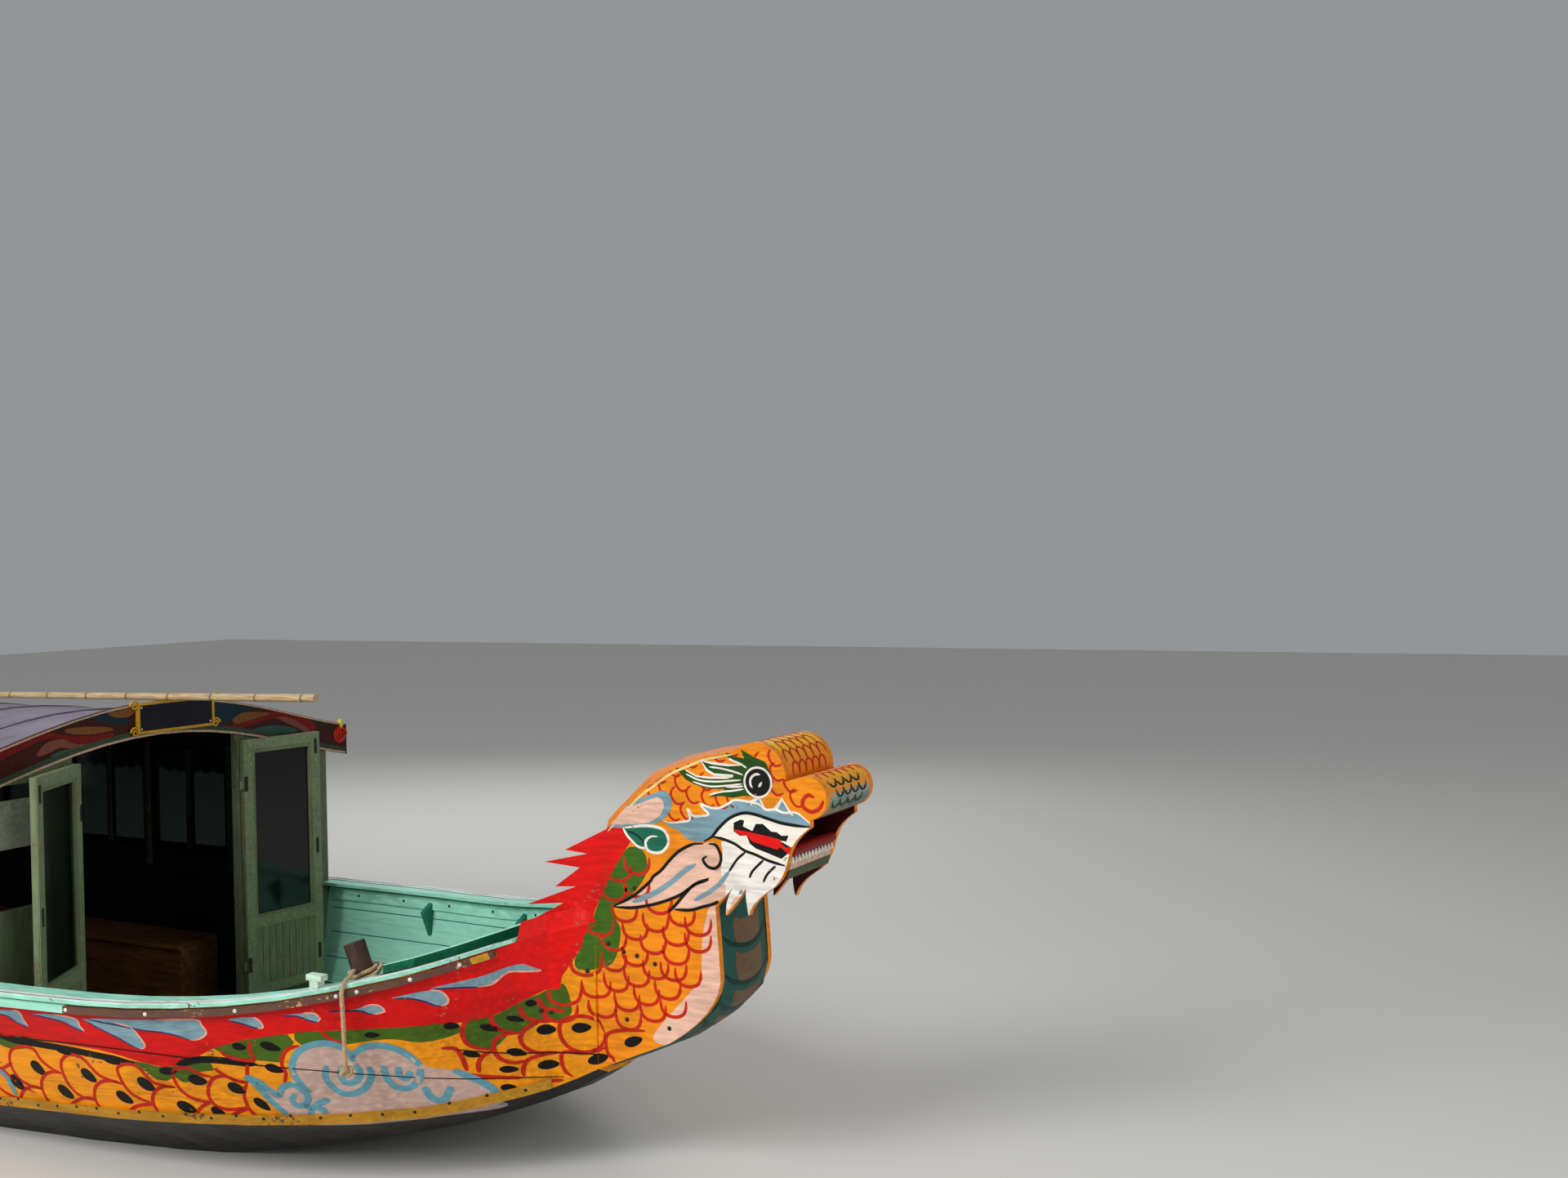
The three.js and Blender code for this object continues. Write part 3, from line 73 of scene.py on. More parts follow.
# Edge of one hull scale from its lower right round its blunt upper left to its right, x and z
SCALE_FORM = [(160, -148), (96, -140), (40, -112), (8, -70), (0, -22), (22, 12), (66, 20), (112, 2), (160, -42),
              (214, -76), (282, -98)]
# One flame of the rail, x and z
FLAME_FORM = [(-150, 6), (-40, 4), (60, 0), (118, -30), (150, -74), (120, -82), (60, -56), (-10, -22), (-90, -2)]
# One green wash, x and z
WASH_FORM = [(0, 0), (180, -10), (340, -6), (300, -60), (160, -84), (40, -50)]
# The U of a scale on a flat board, as shares of its half width and its rise
ARC_FORM = [(-1, 1), (-0.98, 0.6), (-0.8, 0.24), (-0.42, 0.05), (0, 0), (0.42, 0.05), (0.8, 0.24), (0.98, 0.6),
            (1, 1)]
# One scale on a roll: distance along the roll, and share of the row's height round it
ROLL_SCALE = [(-31, 0.9), (-29, 0.45), (-20, 0.14), (0, 0.0), (20, 0.14), (29, 0.45), (31, 0.9)]

# Red edges of the hull's scales near the bow, as lines of x and z
SCALE_EDGES = [
    [(2871, 368), (2800, 377), (2744, 401), (2715, 446), (2714, 504), (2736, 554), (2786, 582), (2855, 594),
     (2904, 583), (2932, 535), (2982, 498), (3045, 475)],
    [(3198, 348), (3120, 360), (3074, 398), (3055, 449), (3056, 511), (3074, 551), (3125, 583), (3178, 584),
     (3219, 568), (3258, 527), (3304, 489), (3412, 461)],
    [(3566, 373), (3502, 388), (3450, 413), (3420, 458), (3410, 517), (3414, 547), (3448, 567), (3506, 573),
     (3547, 552), (3572, 516), (3605, 485), (3708, 472)],
    [(3886, 408), (3817, 412), (3760, 433), (3726, 473), (3714, 528), (3727, 562), (3765, 577), (3811, 576),
     (3851, 554), (3925, 538)],
    [(3004, 273), (2924, 271), (2884, 302), (2870, 354), (2882, 405), (2924, 451), (2983, 476), (3045, 475)],
    [(3412, 461), (3360, 473), (3293, 462), (3236, 424), (3208, 371), (3210, 327), (3233, 286)],
    [(3708, 472), (3643, 471), (3589, 440), (3561, 399), (3559, 355), (3571, 326)],
    [(4057, 395), (3970, 376), (3910, 380), (3877, 408), (3871, 454), (3895, 507), (3929, 538), (3981, 550),
     (4028, 532), (4084, 522)],
    [(4083, 518), (4058, 483), (4049, 437), (4054, 386), (4076, 353), (4116, 333)],
    [(2670, 254), (2698, 304), (2741, 346), (2809, 374), (2873, 373)],
    [(2983, 261), (3048, 315), (3132, 353), (3213, 359)],
    [(3371, 294), (3437, 342), (3506, 363), (3564, 369)],
    [(3757, 317), (3803, 368), (3855, 402), (3886, 408)],
    [(3910, 312), (3986, 360), (4054, 386)],
    [(2617, 442), (2689, 474), (2723, 497)],
    [(3980, 683), (4003, 656), (4059, 639), (4144, 630)],
    [(4137, 730), (4128, 682), (4141, 630)],
    [(4253, 524), (4273, 574), (4262, 618), (4278, 667), (4312, 699), (4352, 711)],
    [(3935, 584), (3982, 554), (4035, 528), (4084, 522)],
    [(4104, 617), (4084, 522)],
    [(4454, 778), (4489, 742), (4536, 718)],
    [(5069, 644), (5018, 660), (4988, 684), (4975, 721), (4979, 768), (4997, 800), (5032, 814), (5067, 808),
     (5072, 772), (5093, 737), (5125, 716), (5169, 713)],
    [(5158, 838), (5167, 794), (5193, 767), (5233, 754), (5285, 754)],
    [(5220, 868), (5227, 832), (5253, 808), (5319, 795)],
    [(5291, 602), (5234, 601), (5192, 615), (5163, 647), (5155, 687), (5170, 720), (5195, 744), (5233, 758),
     (5292, 750)],
    [(5164, 709), (5117, 713), (5081, 697), (5068, 663), (5073, 623), (5094, 588), (5128, 569), (5169, 575)],
    [(5491, 693), (5476, 641), (5441, 612), (5390, 600), (5338, 616), (5307, 652), (5293, 703), (5305, 750),
     (5346, 768), (5399, 772), (5447, 756), (5474, 725), (5491, 693)],
    [(5713, 732), (5601, 722), (5509, 695), (5495, 644), (5507, 599), (5538, 565), (5450, 474)],
    [(5490, 624), (5390, 596), (5305, 601), (5295, 554), (5309, 507), (5338, 483)],
    [(5291, 602), (5226, 594), (5175, 578), (5155, 540), (5154, 497)],
    [(5064, 640), (5032, 621), (5013, 588), (5011, 540)],
    [(4899, 677), (4947, 667), (4964, 620), (4973, 555)],
    [(5150, 405), (5173, 442), (5215, 461), (5297, 468)],
    [(4939, 547), (5043, 515), (5149, 493)],
]

# Dark drops on those scales: x, z, half length, half width, turn in degrees
SCALE_DROPS = [
    (2893, 487, 46, 47, -41), (2708, 396, 38, 42, -30), (3217, 487, 46, 45, -33), (3022, 374, 48, 46, -33),
    (3549, 476, 48, 46, -31), (3394, 390, 47, 42, -28), (3691, 555, 48, 27, 4), (3382, 586, 52, 31, -15),
    (3111, 602, 65, 30, -2), (3834, 520, 46, 39, -7), (3731, 371, 50, 42, -17), (4020, 490, 43, 40, -21),
    (3891, 358, 36, 36, -27), (4119, 414, 41, 33, -43), (4221, 597, 42, 30, -15), (4222, 705, 46, 30, -15),
    (4079, 700, 32, 26, -9), (5063, 750, 36, 22, -27), (5141, 779, 30, 18, -26), (5195, 844, 19, 23, -9),
    (5242, 713, 35, 35, -3), (5382, 717, 42, 35, 5), (5644, 674, 51, 34, 20), (5452, 569, 52, 34, 19),
    (5242, 545, 39, 32, 3), (5137, 619, 34, 26, -23), (4994, 635, 30, 23, -26), (5106, 542, 31, 24, -11),
    (5097, 454, 27, 24, -8), (4940, 778, 26, 24, -9), (4653, 757, 29, 20, -2),
]

# Green washed over the scales below the red strake, as outlines of x and z
GREEN_WASHES = [
    [(3455, 593), (3568, 586), (3674, 574), (3829, 601), (3903, 626), (3933, 575), (3861, 563), (3830, 519),
     (3761, 502), (3723, 528), (3676, 503), (3613, 511), (3579, 542), (3496, 572)],
    [(3956, 682), (4076, 724), (4192, 748), (4313, 766), (4334, 727), (4290, 671), (4264, 630), (4164, 635),
     (4059, 639), (3985, 667)],
    [(4341, 770), (4478, 781), (4736, 789), (4962, 790), (4975, 749), (4904, 720), (4832, 712), (4730, 734),
     (4601, 724), (4536, 714), (4453, 726), (4366, 711)],
    [(4979, 795), (5066, 801), (5169, 859), (5228, 885), (5314, 925), (5346, 787), (5292, 754), (5233, 754),
     (5178, 715), (5125, 712), (5070, 651), (5018, 664), (4982, 709)],
]

# Grey flames that hang from the rail, as outlines of x and z
FLAMES = [
    [(2739, 772), (2861, 777), (2888, 729), (2906, 701), (2841, 716), (2785, 744), (2731, 750)],
    [(2943, 769), (3065, 785), (3228, 778), (3248, 742), (3270, 716), (3213, 730), (3133, 755), (3006, 767)],
    [(3281, 783), (3459, 778), (3546, 761), (3580, 723), (3603, 675), (3573, 657), (3523, 673), (3449, 708),
     (3365, 741), (3307, 769)],
    [(3321, 787), (3729, 813), (3896, 823), (3919, 796), (3936, 761), (3901, 731), (3850, 720), (3788, 736),
     (3715, 748), (3609, 753), (3501, 765)],
    [(4058, 831), (4136, 845), (4183, 842), (4205, 819), (4208, 796), (4171, 795), (4129, 809)],
    [(4304, 857), (4407, 868), (4443, 864), (4460, 840), (4448, 825), (4412, 833), (4368, 853)],
    [(4492, 875), (4591, 881), (4671, 901), (4704, 892), (4717, 868), (4700, 861), (4657, 859), (4615, 876)],
    [(4751, 928), (4828, 947), (4896, 954), (4927, 939), (4942, 902), (4930, 880), (4900, 880), (4864, 904),
     (4812, 925)],
    [(4891, 963), (4976, 982), (5052, 997), (5125, 1025), (5175, 1032), (5199, 1016), (5229, 992), (5174, 997),
     (5129, 1001), (5105, 979), (5080, 954), (5037, 949), (4975, 955)],
]

# Cloud painted over the scales, as an outline of x and z
CLOUD = [
    (4080, 551), (4139, 491), (4210, 443), (4253, 495), (4295, 542), (4305, 631), (4348, 687), (4417, 715),
    (4476, 722), (4537, 698), (4567, 658), (4613, 695), (4669, 709), (4740, 691), (4797, 641), (4847, 591),
    (4928, 565), (4991, 524), (5038, 467), (5071, 379), (5023, 338), (4841, 337), (4604, 310), (4370, 303),
    (4284, 324), (4218, 359), (4161, 429),
]

# The cloud's curls, as lines of x and z
CLOUD_LINES = [
    [(4080, 551), (4117, 519), (4143, 474), (4177, 421), (4227, 364)],
    [(4080, 551), (4131, 532), (4176, 488), (4215, 452)],
    [(4215, 452), (4229, 490), (4266, 516), (4302, 513), (4331, 488), (4342, 446), (4313, 413), (4278, 416),
     (4270, 445), (4291, 471)],
    [(4313, 413), (4349, 400), (4386, 426), (4428, 443)],
    [(4349, 400), (4334, 367), (4352, 341), (4391, 358), (4395, 392), (4369, 396)],
    [(4356, 476), (4323, 530), (4307, 583), (4316, 639), (4351, 687), (4407, 715), (4470, 722), (4521, 706),
     (4556, 670), (4570, 634)],
    [(4560, 654), (4597, 688), (4640, 706), (4694, 704), (4748, 682), (4791, 645), (4820, 602)],
    [(4453, 615), (4439, 558), (4456, 509), (4493, 475), (4548, 475), (4596, 507), (4626, 563), (4623, 604)],
    [(4539, 619), (4505, 583), (4512, 533), (4559, 533), (4584, 577), (4574, 618)],
    [(4681, 609), (4683, 544), (4716, 498), (4764, 496), (4804, 531), (4818, 586)],
    [(4737, 599), (4733, 558), (4759, 541), (4780, 577)],
    [(4819, 496), (4830, 450), (4855, 423), (4888, 436), (4909, 486)],
    [(4928, 565), (4978, 526), (5027, 481), (5056, 432), (5053, 360)],
    [(2615, 437), (2645, 405), (2658, 362), (2666, 308)],
]

# Lower edge of the red strake where the photo shows it, then up the mane's front edge, x and z
STRAKE_EDGE = [
    (2690, 634), (2912, 639), (3122, 637), (3324, 630), (3460, 610), (3589, 584), (3674, 574), (3808, 600),
    (3879, 645), (3948, 681), (4076, 724), (4192, 748), (4341, 770), (4478, 781), (4736, 789), (4962, 790),
    (5066, 801), (5169, 859), (5188, 869), (5260, 908), (5308, 960), (5347, 1022), (5385, 1084), (5400, 1143),
    (5425, 1203), (5445, 1262),
]

# Painted shadow under the red strake, as dark lines of x and z
STRAKE_SHADOWS = [
    [(2685, 621), (2905, 617), (3113, 611), (3266, 603), (3408, 592), (3522, 583)],
    [(3743, 591), (3874, 624), (4017, 625), (4149, 614)],
]

# Laps of the bow planking, as lines of x and z
LAPS = [
    [(2689, 630), (3329, 647), (3855, 627), (4313, 599), (4704, 556), (5096, 499), (5298, 483)],
    [(4952, 662), (5157, 612), (5484, 589)],
]

# Edges that the head's figures share, x and z: the brow, the upper lip, the gum, the cheek's top and foot
BROW = [(5896, 1957), (5957, 1944), (6012, 1920), (6078, 1916), (6168, 1921), (6204, 1930), (6103, 1932),
        (6067, 1949), (6037, 1992), (6098, 1982), (6175, 1977), (6241, 1980), (6182, 2006), (6162, 2035),
        (6206, 2018), (6259, 2010), (6242, 2050), (6301, 2022), (6364, 1999), (6389, 1952), (6403, 1916),
        (6387, 1872), (6344, 1844), (6297, 1844), (6256, 1846), (6196, 1833), (6137, 1838), (6070, 1828),
        (6131, 1853), (6159, 1870), (6077, 1866), (5999, 1883), (5956, 1902)]
UPPER_LIP = [(6087, 1653), (6122, 1692), (6165, 1731), (6207, 1755), (6257, 1769), (6310, 1765), (6371, 1751),
             (6432, 1737), (6492, 1730), (6552, 1727)]
GUM = [(6204, 1628), (6253, 1602), (6307, 1588), (6368, 1567), (6428, 1554), (6460, 1549)]
CHEEK_TOP = [(5555, 1295), (5659, 1349), (5750, 1420), (5772, 1448), (5817, 1482), (5862, 1530), (5906, 1570),
             (5950, 1596), (5993, 1613), (6040, 1617)]
CHEEK_FOOT = [(5658, 1296), (5770, 1321), (5858, 1351), (5924, 1382), (5967, 1412), (6011, 1441), (6067, 1464)]

# Paint on the head's side boards: colour, coat, rounded or not, outline of x and z
HEAD_FILLS = [
    ("neck_green", 0, True, [(5642, 1573), (5570, 1493), (5502, 1368), (5433, 1220), (5362, 1004), (5533, 1022),
     (5588, 1180), (5545, 1274), (5656, 1359), (5735, 1462), (5724, 1558)]),
    ("mane_red", 1, False, [(5622, 1660), (5665, 1621), (5610, 1542), (5573, 1490), (5540, 1441), (5511, 1382),
     (5478, 1322), (5445, 1262), (5425, 1203), (5400, 1143), (5385, 1084), (5347, 1022), (5308, 960), (5300, 900),
     (4900, 900), (4900, 1700), (5531, 1662)]),
    ("frame_blue", 2, True, [(5531, 1665), (5551, 1746), (5646, 1774), (5714, 1804), (5781, 1830), (5825, 1844),
     (5860, 1835), (5881, 1802), (5876, 1772), (5858, 1742), (5813, 1702), (5755, 1683), (5689, 1671)]),
    ("cheek_pink", 3, True, [(5536, 1677), (5565, 1739), (5669, 1768), (5758, 1799), (5802, 1813), (5833, 1796),
     (5836, 1770), (5814, 1732), (5769, 1703), (5711, 1688)]),
    ("scroll_teal", 2, True, [(5613, 1663), (5711, 1673), (5791, 1678), (5838, 1662), (5864, 1616), (5836, 1573),
     (5788, 1554), (5744, 1570), (5713, 1575), (5665, 1602)]),
    ("brow_green", 2, False, BROW),
    ("tooth_white", 1, False, [(6262, 1812), (6329, 1848), (6372, 1780)]),
    ("tooth_white", 1, False, [(6400, 1796), (6443, 1848), (6500, 1770)]),
    ("frame_blue", 2, False, [(6290, 1806), (6329, 1834), (6356, 1784)]),
    ("frame_blue", 2, False, [(6420, 1790), (6445, 1832), (6484, 1774)]),
    ("frame_blue", 1, False, UPPER_LIP + [(6587, 1732), (6552, 1762), (6513, 1785), (6453, 1781), (6413, 1793),
     (6364, 1794), (6332, 1810), (6291, 1818), (6208, 1824), (6166, 1804), (6124, 1783), (6073, 1784), (6031, 1796),
     (6047, 1775), (6072, 1755), (6017, 1740), (5987, 1742), (5962, 1770), (5974, 1738), (5952, 1718), (5931, 1709),
     (5865, 1701), (5831, 1710), (5856, 1686), (5917, 1667), (5951, 1636), (5993, 1624), (6044, 1628)]),
    ("tooth_white", 2, False, UPPER_LIP + [(6579, 1728), (6539, 1683), (6498, 1637), (6473, 1579)] + GUM[::-1] +
     [(6142, 1646)]),
    ("line_black", 3, False, [(6200, 1722), (6236, 1739), (6254, 1735), (6247, 1709), (6294, 1691), (6312, 1724),
     (6347, 1726), (6388, 1695), (6416, 1694), (6439, 1680), (6474, 1683), (6462, 1656), (6427, 1659), (6484, 1632),
     (6472, 1606), (6437, 1578), (6368, 1599), (6310, 1615), (6281, 1634), (6264, 1669), (6229, 1666),
     (6199, 1685)]),
    ("mane_red", 5, False, [(6200, 1694), (6265, 1687), (6358, 1675), (6427, 1664), (6456, 1630), (6502, 1634),
     (6495, 1587), (6433, 1629), (6415, 1617), (6293, 1645), (6264, 1669), (6223, 1671)]),
    ("cheek_pink", 1, False, CHEEK_TOP + [(6061, 1625), (6095, 1628), (6120, 1611), (6128, 1579), (6136, 1539),
     (6118, 1505)] + CHEEK_FOOT[::-1]),
    ("cheek_pink", 1, False, [(6067, 1464), (5989, 1428), (5937, 1380), (5892, 1331), (5848, 1290), (5883, 1308),
     (5965, 1312), (6030, 1332), (6094, 1353), (6149, 1387), (6162, 1388), (6148, 1302), (6190, 1354), (6220, 1378),
     (6253, 1388), (6268, 1313), (6303, 1371), (6344, 1403), (6385, 1435), (6439, 1490), (6452, 1541), (6428, 1554),
     (6368, 1567), (6307, 1588), (6253, 1602), (6204, 1628), (6163, 1640), (6137, 1634), (6141, 1580),
     (6135, 1524)]),
    ("chin_white", 2, True, [(6137, 1634)] + GUM + [(6452, 1500), (6400, 1445), (6330, 1395), (6290, 1360),
     (6268, 1313), (6253, 1388), (6200, 1390), (6160, 1330), (6150, 1440), (6130, 1500), (6141, 1580)]),
    ("cheek_pink", 1, True, [(6064, 1328), (6027, 1185), (6015, 1017), (5957, 937), (5824, 798), (5756, 707),
     (5822, 678), (5922, 702), (5997, 775), (6106, 917), (6125, 1011), (6114, 1120), (6104, 1229), (6102, 1331)]),
]

# Lines on the head's side boards: colour, coat, width, line of x and z
HEAD_LINES = [
    # A painted highlight: a pale line along the crest's top edge, where light catches it.
    ("crest_highlight_yellow", 2, 11, [(5529, 1641), (5615, 1725), (5702, 1807), (5790, 1868), (5877, 1924), (5962, 1960),
     (6048, 1994), (6130, 2012), (6200, 2026)]),
    ("tooth_white", 4, 13, [(5622, 1663), (5711, 1677), (5786, 1678), (5838, 1662), (5859, 1615), (5832, 1572),
     (5788, 1558), (5744, 1570), (5736, 1607), (5763, 1631), (5798, 1634)]),
    ("tooth_white", 4, 11, [(5613, 1663), (5634, 1630), (5665, 1602), (5700, 1578), (5740, 1577)]),
    ("line_black", 4, 7, [(5635, 1649), (5679, 1637), (5719, 1609), (5731, 1584)]),
    ("tooth_white", 3, 11, BROW + [(5896, 1957)]),
    ("tooth_white", 4, 8, [(6162, 1881), (6203, 1881), (6251, 1887)]),
    ("tooth_white", 4, 8, [(6077, 1840), (6137, 1856), (6197, 1864), (6254, 1875)]),
    ("tooth_white", 4, 8, [(6194, 1999), (6235, 1988), (6270, 1969)]),
    ("tooth_white", 4, 8, [(6079, 1965), (6139, 1961), (6211, 1948), (6252, 1937)]),
    ("tooth_white", 4, 8, [(5993, 1895), (6077, 1878), (6174, 1886), (6245, 1897)]),
    ("tooth_white", 4, 8, [(5957, 1928), (6029, 1903), (6114, 1901), (6204, 1910), (6240, 1914)]),
    ("line_black", 4, 14, [(6044, 1628)] + UPPER_LIP + [(6579, 1728)]),
    ("tooth_white", 3, 10, [(5831, 1710), (5865, 1701), (5931, 1709), (5974, 1723), (5962, 1770), (5987, 1742),
     (6017, 1740), (6072, 1751), (6047, 1775), (6031, 1796), (6073, 1784), (6124, 1783), (6179, 1808), (6208, 1824),
     (6291, 1818), (6332, 1810), (6364, 1790), (6413, 1793), (6453, 1781), (6513, 1785), (6552, 1762),
     (6584, 1739)]),
    ("line_black", 4, 13, [(6087, 1653), (6142, 1646)] + GUM),
    ("line_red", 3, 17, [(6601, 1854), (6574, 1866), (6546, 1840), (6549, 1812), (6577, 1795), (6604, 1797),
     (6632, 1816), (6645, 1845)]),
    ("line_red", 3, 14, [(6627, 1940), (6646, 1912), (6653, 1881)]),
    ("line_black", 4, 14, CHEEK_TOP),
    ("line_black", 4, 14, [(6060, 1563), (6038, 1547), (6059, 1519), (6093, 1510), (6118, 1523), (6132, 1553),
     (6124, 1589), (6103, 1617), (6070, 1619)]),
    ("line_black", 4, 14, [(5555, 1291)] + CHEEK_FOOT),
    ("line_black", 4, 14, [(5848, 1290), (5892, 1331), (5937, 1380), (5989, 1428), (6066, 1457)]),
    ("line_black", 4, 14, [(5883, 1308), (5965, 1312), (6030, 1332), (6094, 1353), (6149, 1387), (6196, 1434)]),
    ("line_black", 4, 11, [(6257, 1595), (6215, 1560), (6172, 1502)]),
    ("line_black", 4, 11, [(6347, 1566), (6293, 1515), (6276, 1481)]),
    ("line_black", 4, 11, [(6408, 1545), (6366, 1506), (6345, 1468)]),
    ("frame_blue", 3, 24, [(5659, 1322), (5771, 1370), (5868, 1430), (5939, 1487), (6000, 1522)]),
    ("frame_blue", 3, 20, [(5988, 1358), (6052, 1393), (6117, 1439), (6172, 1502)]),
    ("frame_blue", 3, 16, [(6221, 1404), (6259, 1447), (6289, 1500)]),
    ("line_black", 4, 12, [(6120, 1360), (6104, 1331), (6098, 1265), (6103, 1192), (6110, 1119), (6117, 1047)]),
]

# Scales of the neck: x and z of each one's lowest point
NECK_SCALES = [
    (5684, 1453), (5682, 1347), (5555, 1321), (5580, 1414), (5479, 1150), (5612, 1228), (5668, 1150), (5780, 1198),
    (5921, 1237), (5550, 1089), (5765, 1095), (5888, 1145), (5410, 963), (5548, 993), (5666, 1029), (5887, 1059),
    (5319, 826), (5458, 861), (5559, 899), (5673, 935), (5776, 980), (5949, 962), (5488, 769), (5616, 815),
    (5724, 854), (5839, 894), (5758, 783), (5868, 815), (5623, 728), (5800, 1282), (6004, 1127), (6006, 1201),
    (5872, 983), (5303, 747),
]

# Nail heads of the neck, x and z
NECK_NAILS = [
    (5669, 1387), (5604, 1087), (5676, 1075), (5773, 1047), (5415, 983), (5519, 1116), (5262, 792), (5229, 804),
    (5615, 773), (5845, 760),
]

# Small scales of the face: x and z of each one's middle
FACE_SCALES = [
    (5746, 1877), (5835, 1908), (5914, 1941), (5860, 1853), (5947, 1876), (5924, 1816), (6006, 1824), (6086, 1814),
    (5974, 1749), (5905, 1741), (6001, 1986), (6078, 2026), (6145, 2018), (6213, 2046), (5802, 1820), (6435, 1884),
    (6503, 1902), (6534, 1839), (6436, 1948), (6429, 2012), (6490, 2033), (6458, 2085), (6360, 1991), (6075, 1887),
    (6158, 1811), (6216, 1818),
]

# Waves painted on the cabin's front fascia: colour, coat, outline of y and z
FASCIA_WAVES = [
    ("fascia_blue", 1, [(-817, 2071), (-618, 2103), (-411, 2128), (-249, 2145), (-161, 2133), (-196, 2076),
     (-225, 2029), (-333, 2040), (-465, 2075), (-594, 2066), (-720, 2044)]),
    ("fascia_ochre", 1, [(-620, 2038), (-518, 2040), (-360, 2024), (-318, 2002), (-467, 1995), (-595, 2013)]),
    ("fascia_ochre", 2, [(-346, 2140), (-249, 2154), (-160, 2156), (-151, 2113), (-207, 2068), (-305, 2073),
     (-347, 2104), (-272, 2106)]),
    ("fascia_red", 1, [(-1009, 2019), (-905, 2046), (-794, 2047), (-711, 2030), (-596, 2000), (-467, 1986),
     (-319, 1988), (-325, 1953), (-416, 1936), (-546, 1955), (-672, 1995), (-771, 1993), (-869, 1965), (-965, 1934),
     (-1012, 1922)]),
    ("fascia_pink", 2, [(-798, 1914), (-747, 1973), (-647, 1988), (-546, 1950), (-390, 1937), (-375, 1909),
     (-522, 1908), (-648, 1944), (-724, 1922)]),
    ("fascia_teal", 2, [(-714, 1904), (-623, 1928), (-521, 1916), (-533, 1887), (-650, 1883)]),
    ("fascia_blue", 1, [(400, 2073), (482, 2095), (653, 2040), (758, 2031), (639, 2012), (542, 1972), (397, 1966)]),
    ("fascia_ochre", 2, [(542, 1981), (639, 2012), (836, 1988), (716, 1969), (573, 1949)]),
    ("fascia_red", 1, [(534, 1943), (638, 1972), (770, 1989), (938, 2004), (1076, 1971), (1222, 1884), (1178, 1831),
     (1053, 1901), (869, 1950), (702, 1936), (584, 1913)]),
    ("fascia_pink", 2, [(903, 1956), (1026, 1934), (1164, 1853), (1191, 1803), (1080, 1867), (970, 1914)]),
    ("fascia_teal", 2, [(668, 1884), (767, 1909), (935, 1902), (1072, 1857), (900, 1855)]),
    ("fascia_green", 1, [(1097, 1964), (1217, 1947), (1339, 1893), (1323, 1863), (1215, 1895)]),
]

# White curls on the blue top of the stern's boards, as lines of x and z
TAIL_CURLS = [
    [(-6330, 1230), (-6440, 1210), (-6530, 1270), (-6600, 1300), (-6680, 1400), (-6760, 1480), (-6800, 1580),
     (-6830, 1680), (-6860, 1780)],
    [(-6895, 1700), (-6905, 1780), (-6890, 1840), (-6850, 1862), (-6810, 1850), (-6790, 1815), (-6805, 1785),
     (-6835, 1785)],
]

# Orange field of the stern's scrolled boards, as an outline of x and z
TAIL_FIELD = [
    (-6302, 800), (-6302, 1160), (-6400, 1130), (-6480, 1190), (-6570, 1220), (-6650, 1330), (-6740, 1400),
    (-6800, 1480), (-6852, 1372), (-6826, 1275), (-6796, 1200), (-6700, 1060), (-6560, 910), (-6420, 800),
]

# Colours of the paints, as sRGB hex
PAINTS = {
    "hull_orange": "EC920A", "scale_red": "BE1E08", "drop_black": "070606", "wash_green": "42600E",
    "strake_red": "CE0402", "frame_blue": "7C9CA8", "flame_edge": "1E2B5E", "flame_lip": "E9A68E",
    "cloud_rose": "C2A396", "cloud_blue": "5F97A6", "neck_green": "3A6410", "mane_red": "DC0603",
    "cheek_pink": "EABBA4", "chin_white": "F2EAE0", "tooth_white": "F4EBDD", "scroll_teal": "126850",
    "brow_green": "1E4A08", "line_black": "070606", "line_red": "C22406", "crest_highlight_yellow": "F2D690",
    "belly_tan": "70563E", "belly_dark": "0E342C", "fascia_blue": "0C2634", "fascia_ochre": "7A4A20",
    "fascia_green": "143020", "fascia_red": "72100A", "fascia_pink": "7E4436", "fascia_teal": "28584A",
    "lath_white": "E6F2EA", "groove_green": "0E3226", "seam_green": "2A7A66", "worn_yellow": "C8962A",
    "bolt_white": "E4DCCC", "bolt_dark": "2C2622", "band_grey": "8A6E62", "trim_tan": "C6A68A",
    "trim_moss": "3A4636", "finial_yellow": "E8D83A", "jaw_olive": "4A5434", "jaw_rose": "D8B49C",
    "post_grey": "4E4A40", "notice_grey": "A8AC98", "cap_white": "E8E4DA", "tail_orange": "E0861A",
    "sheer_mint": "9FE3CB", "door_facing": "7E8A66", "roof_batten": "7C7484",
}

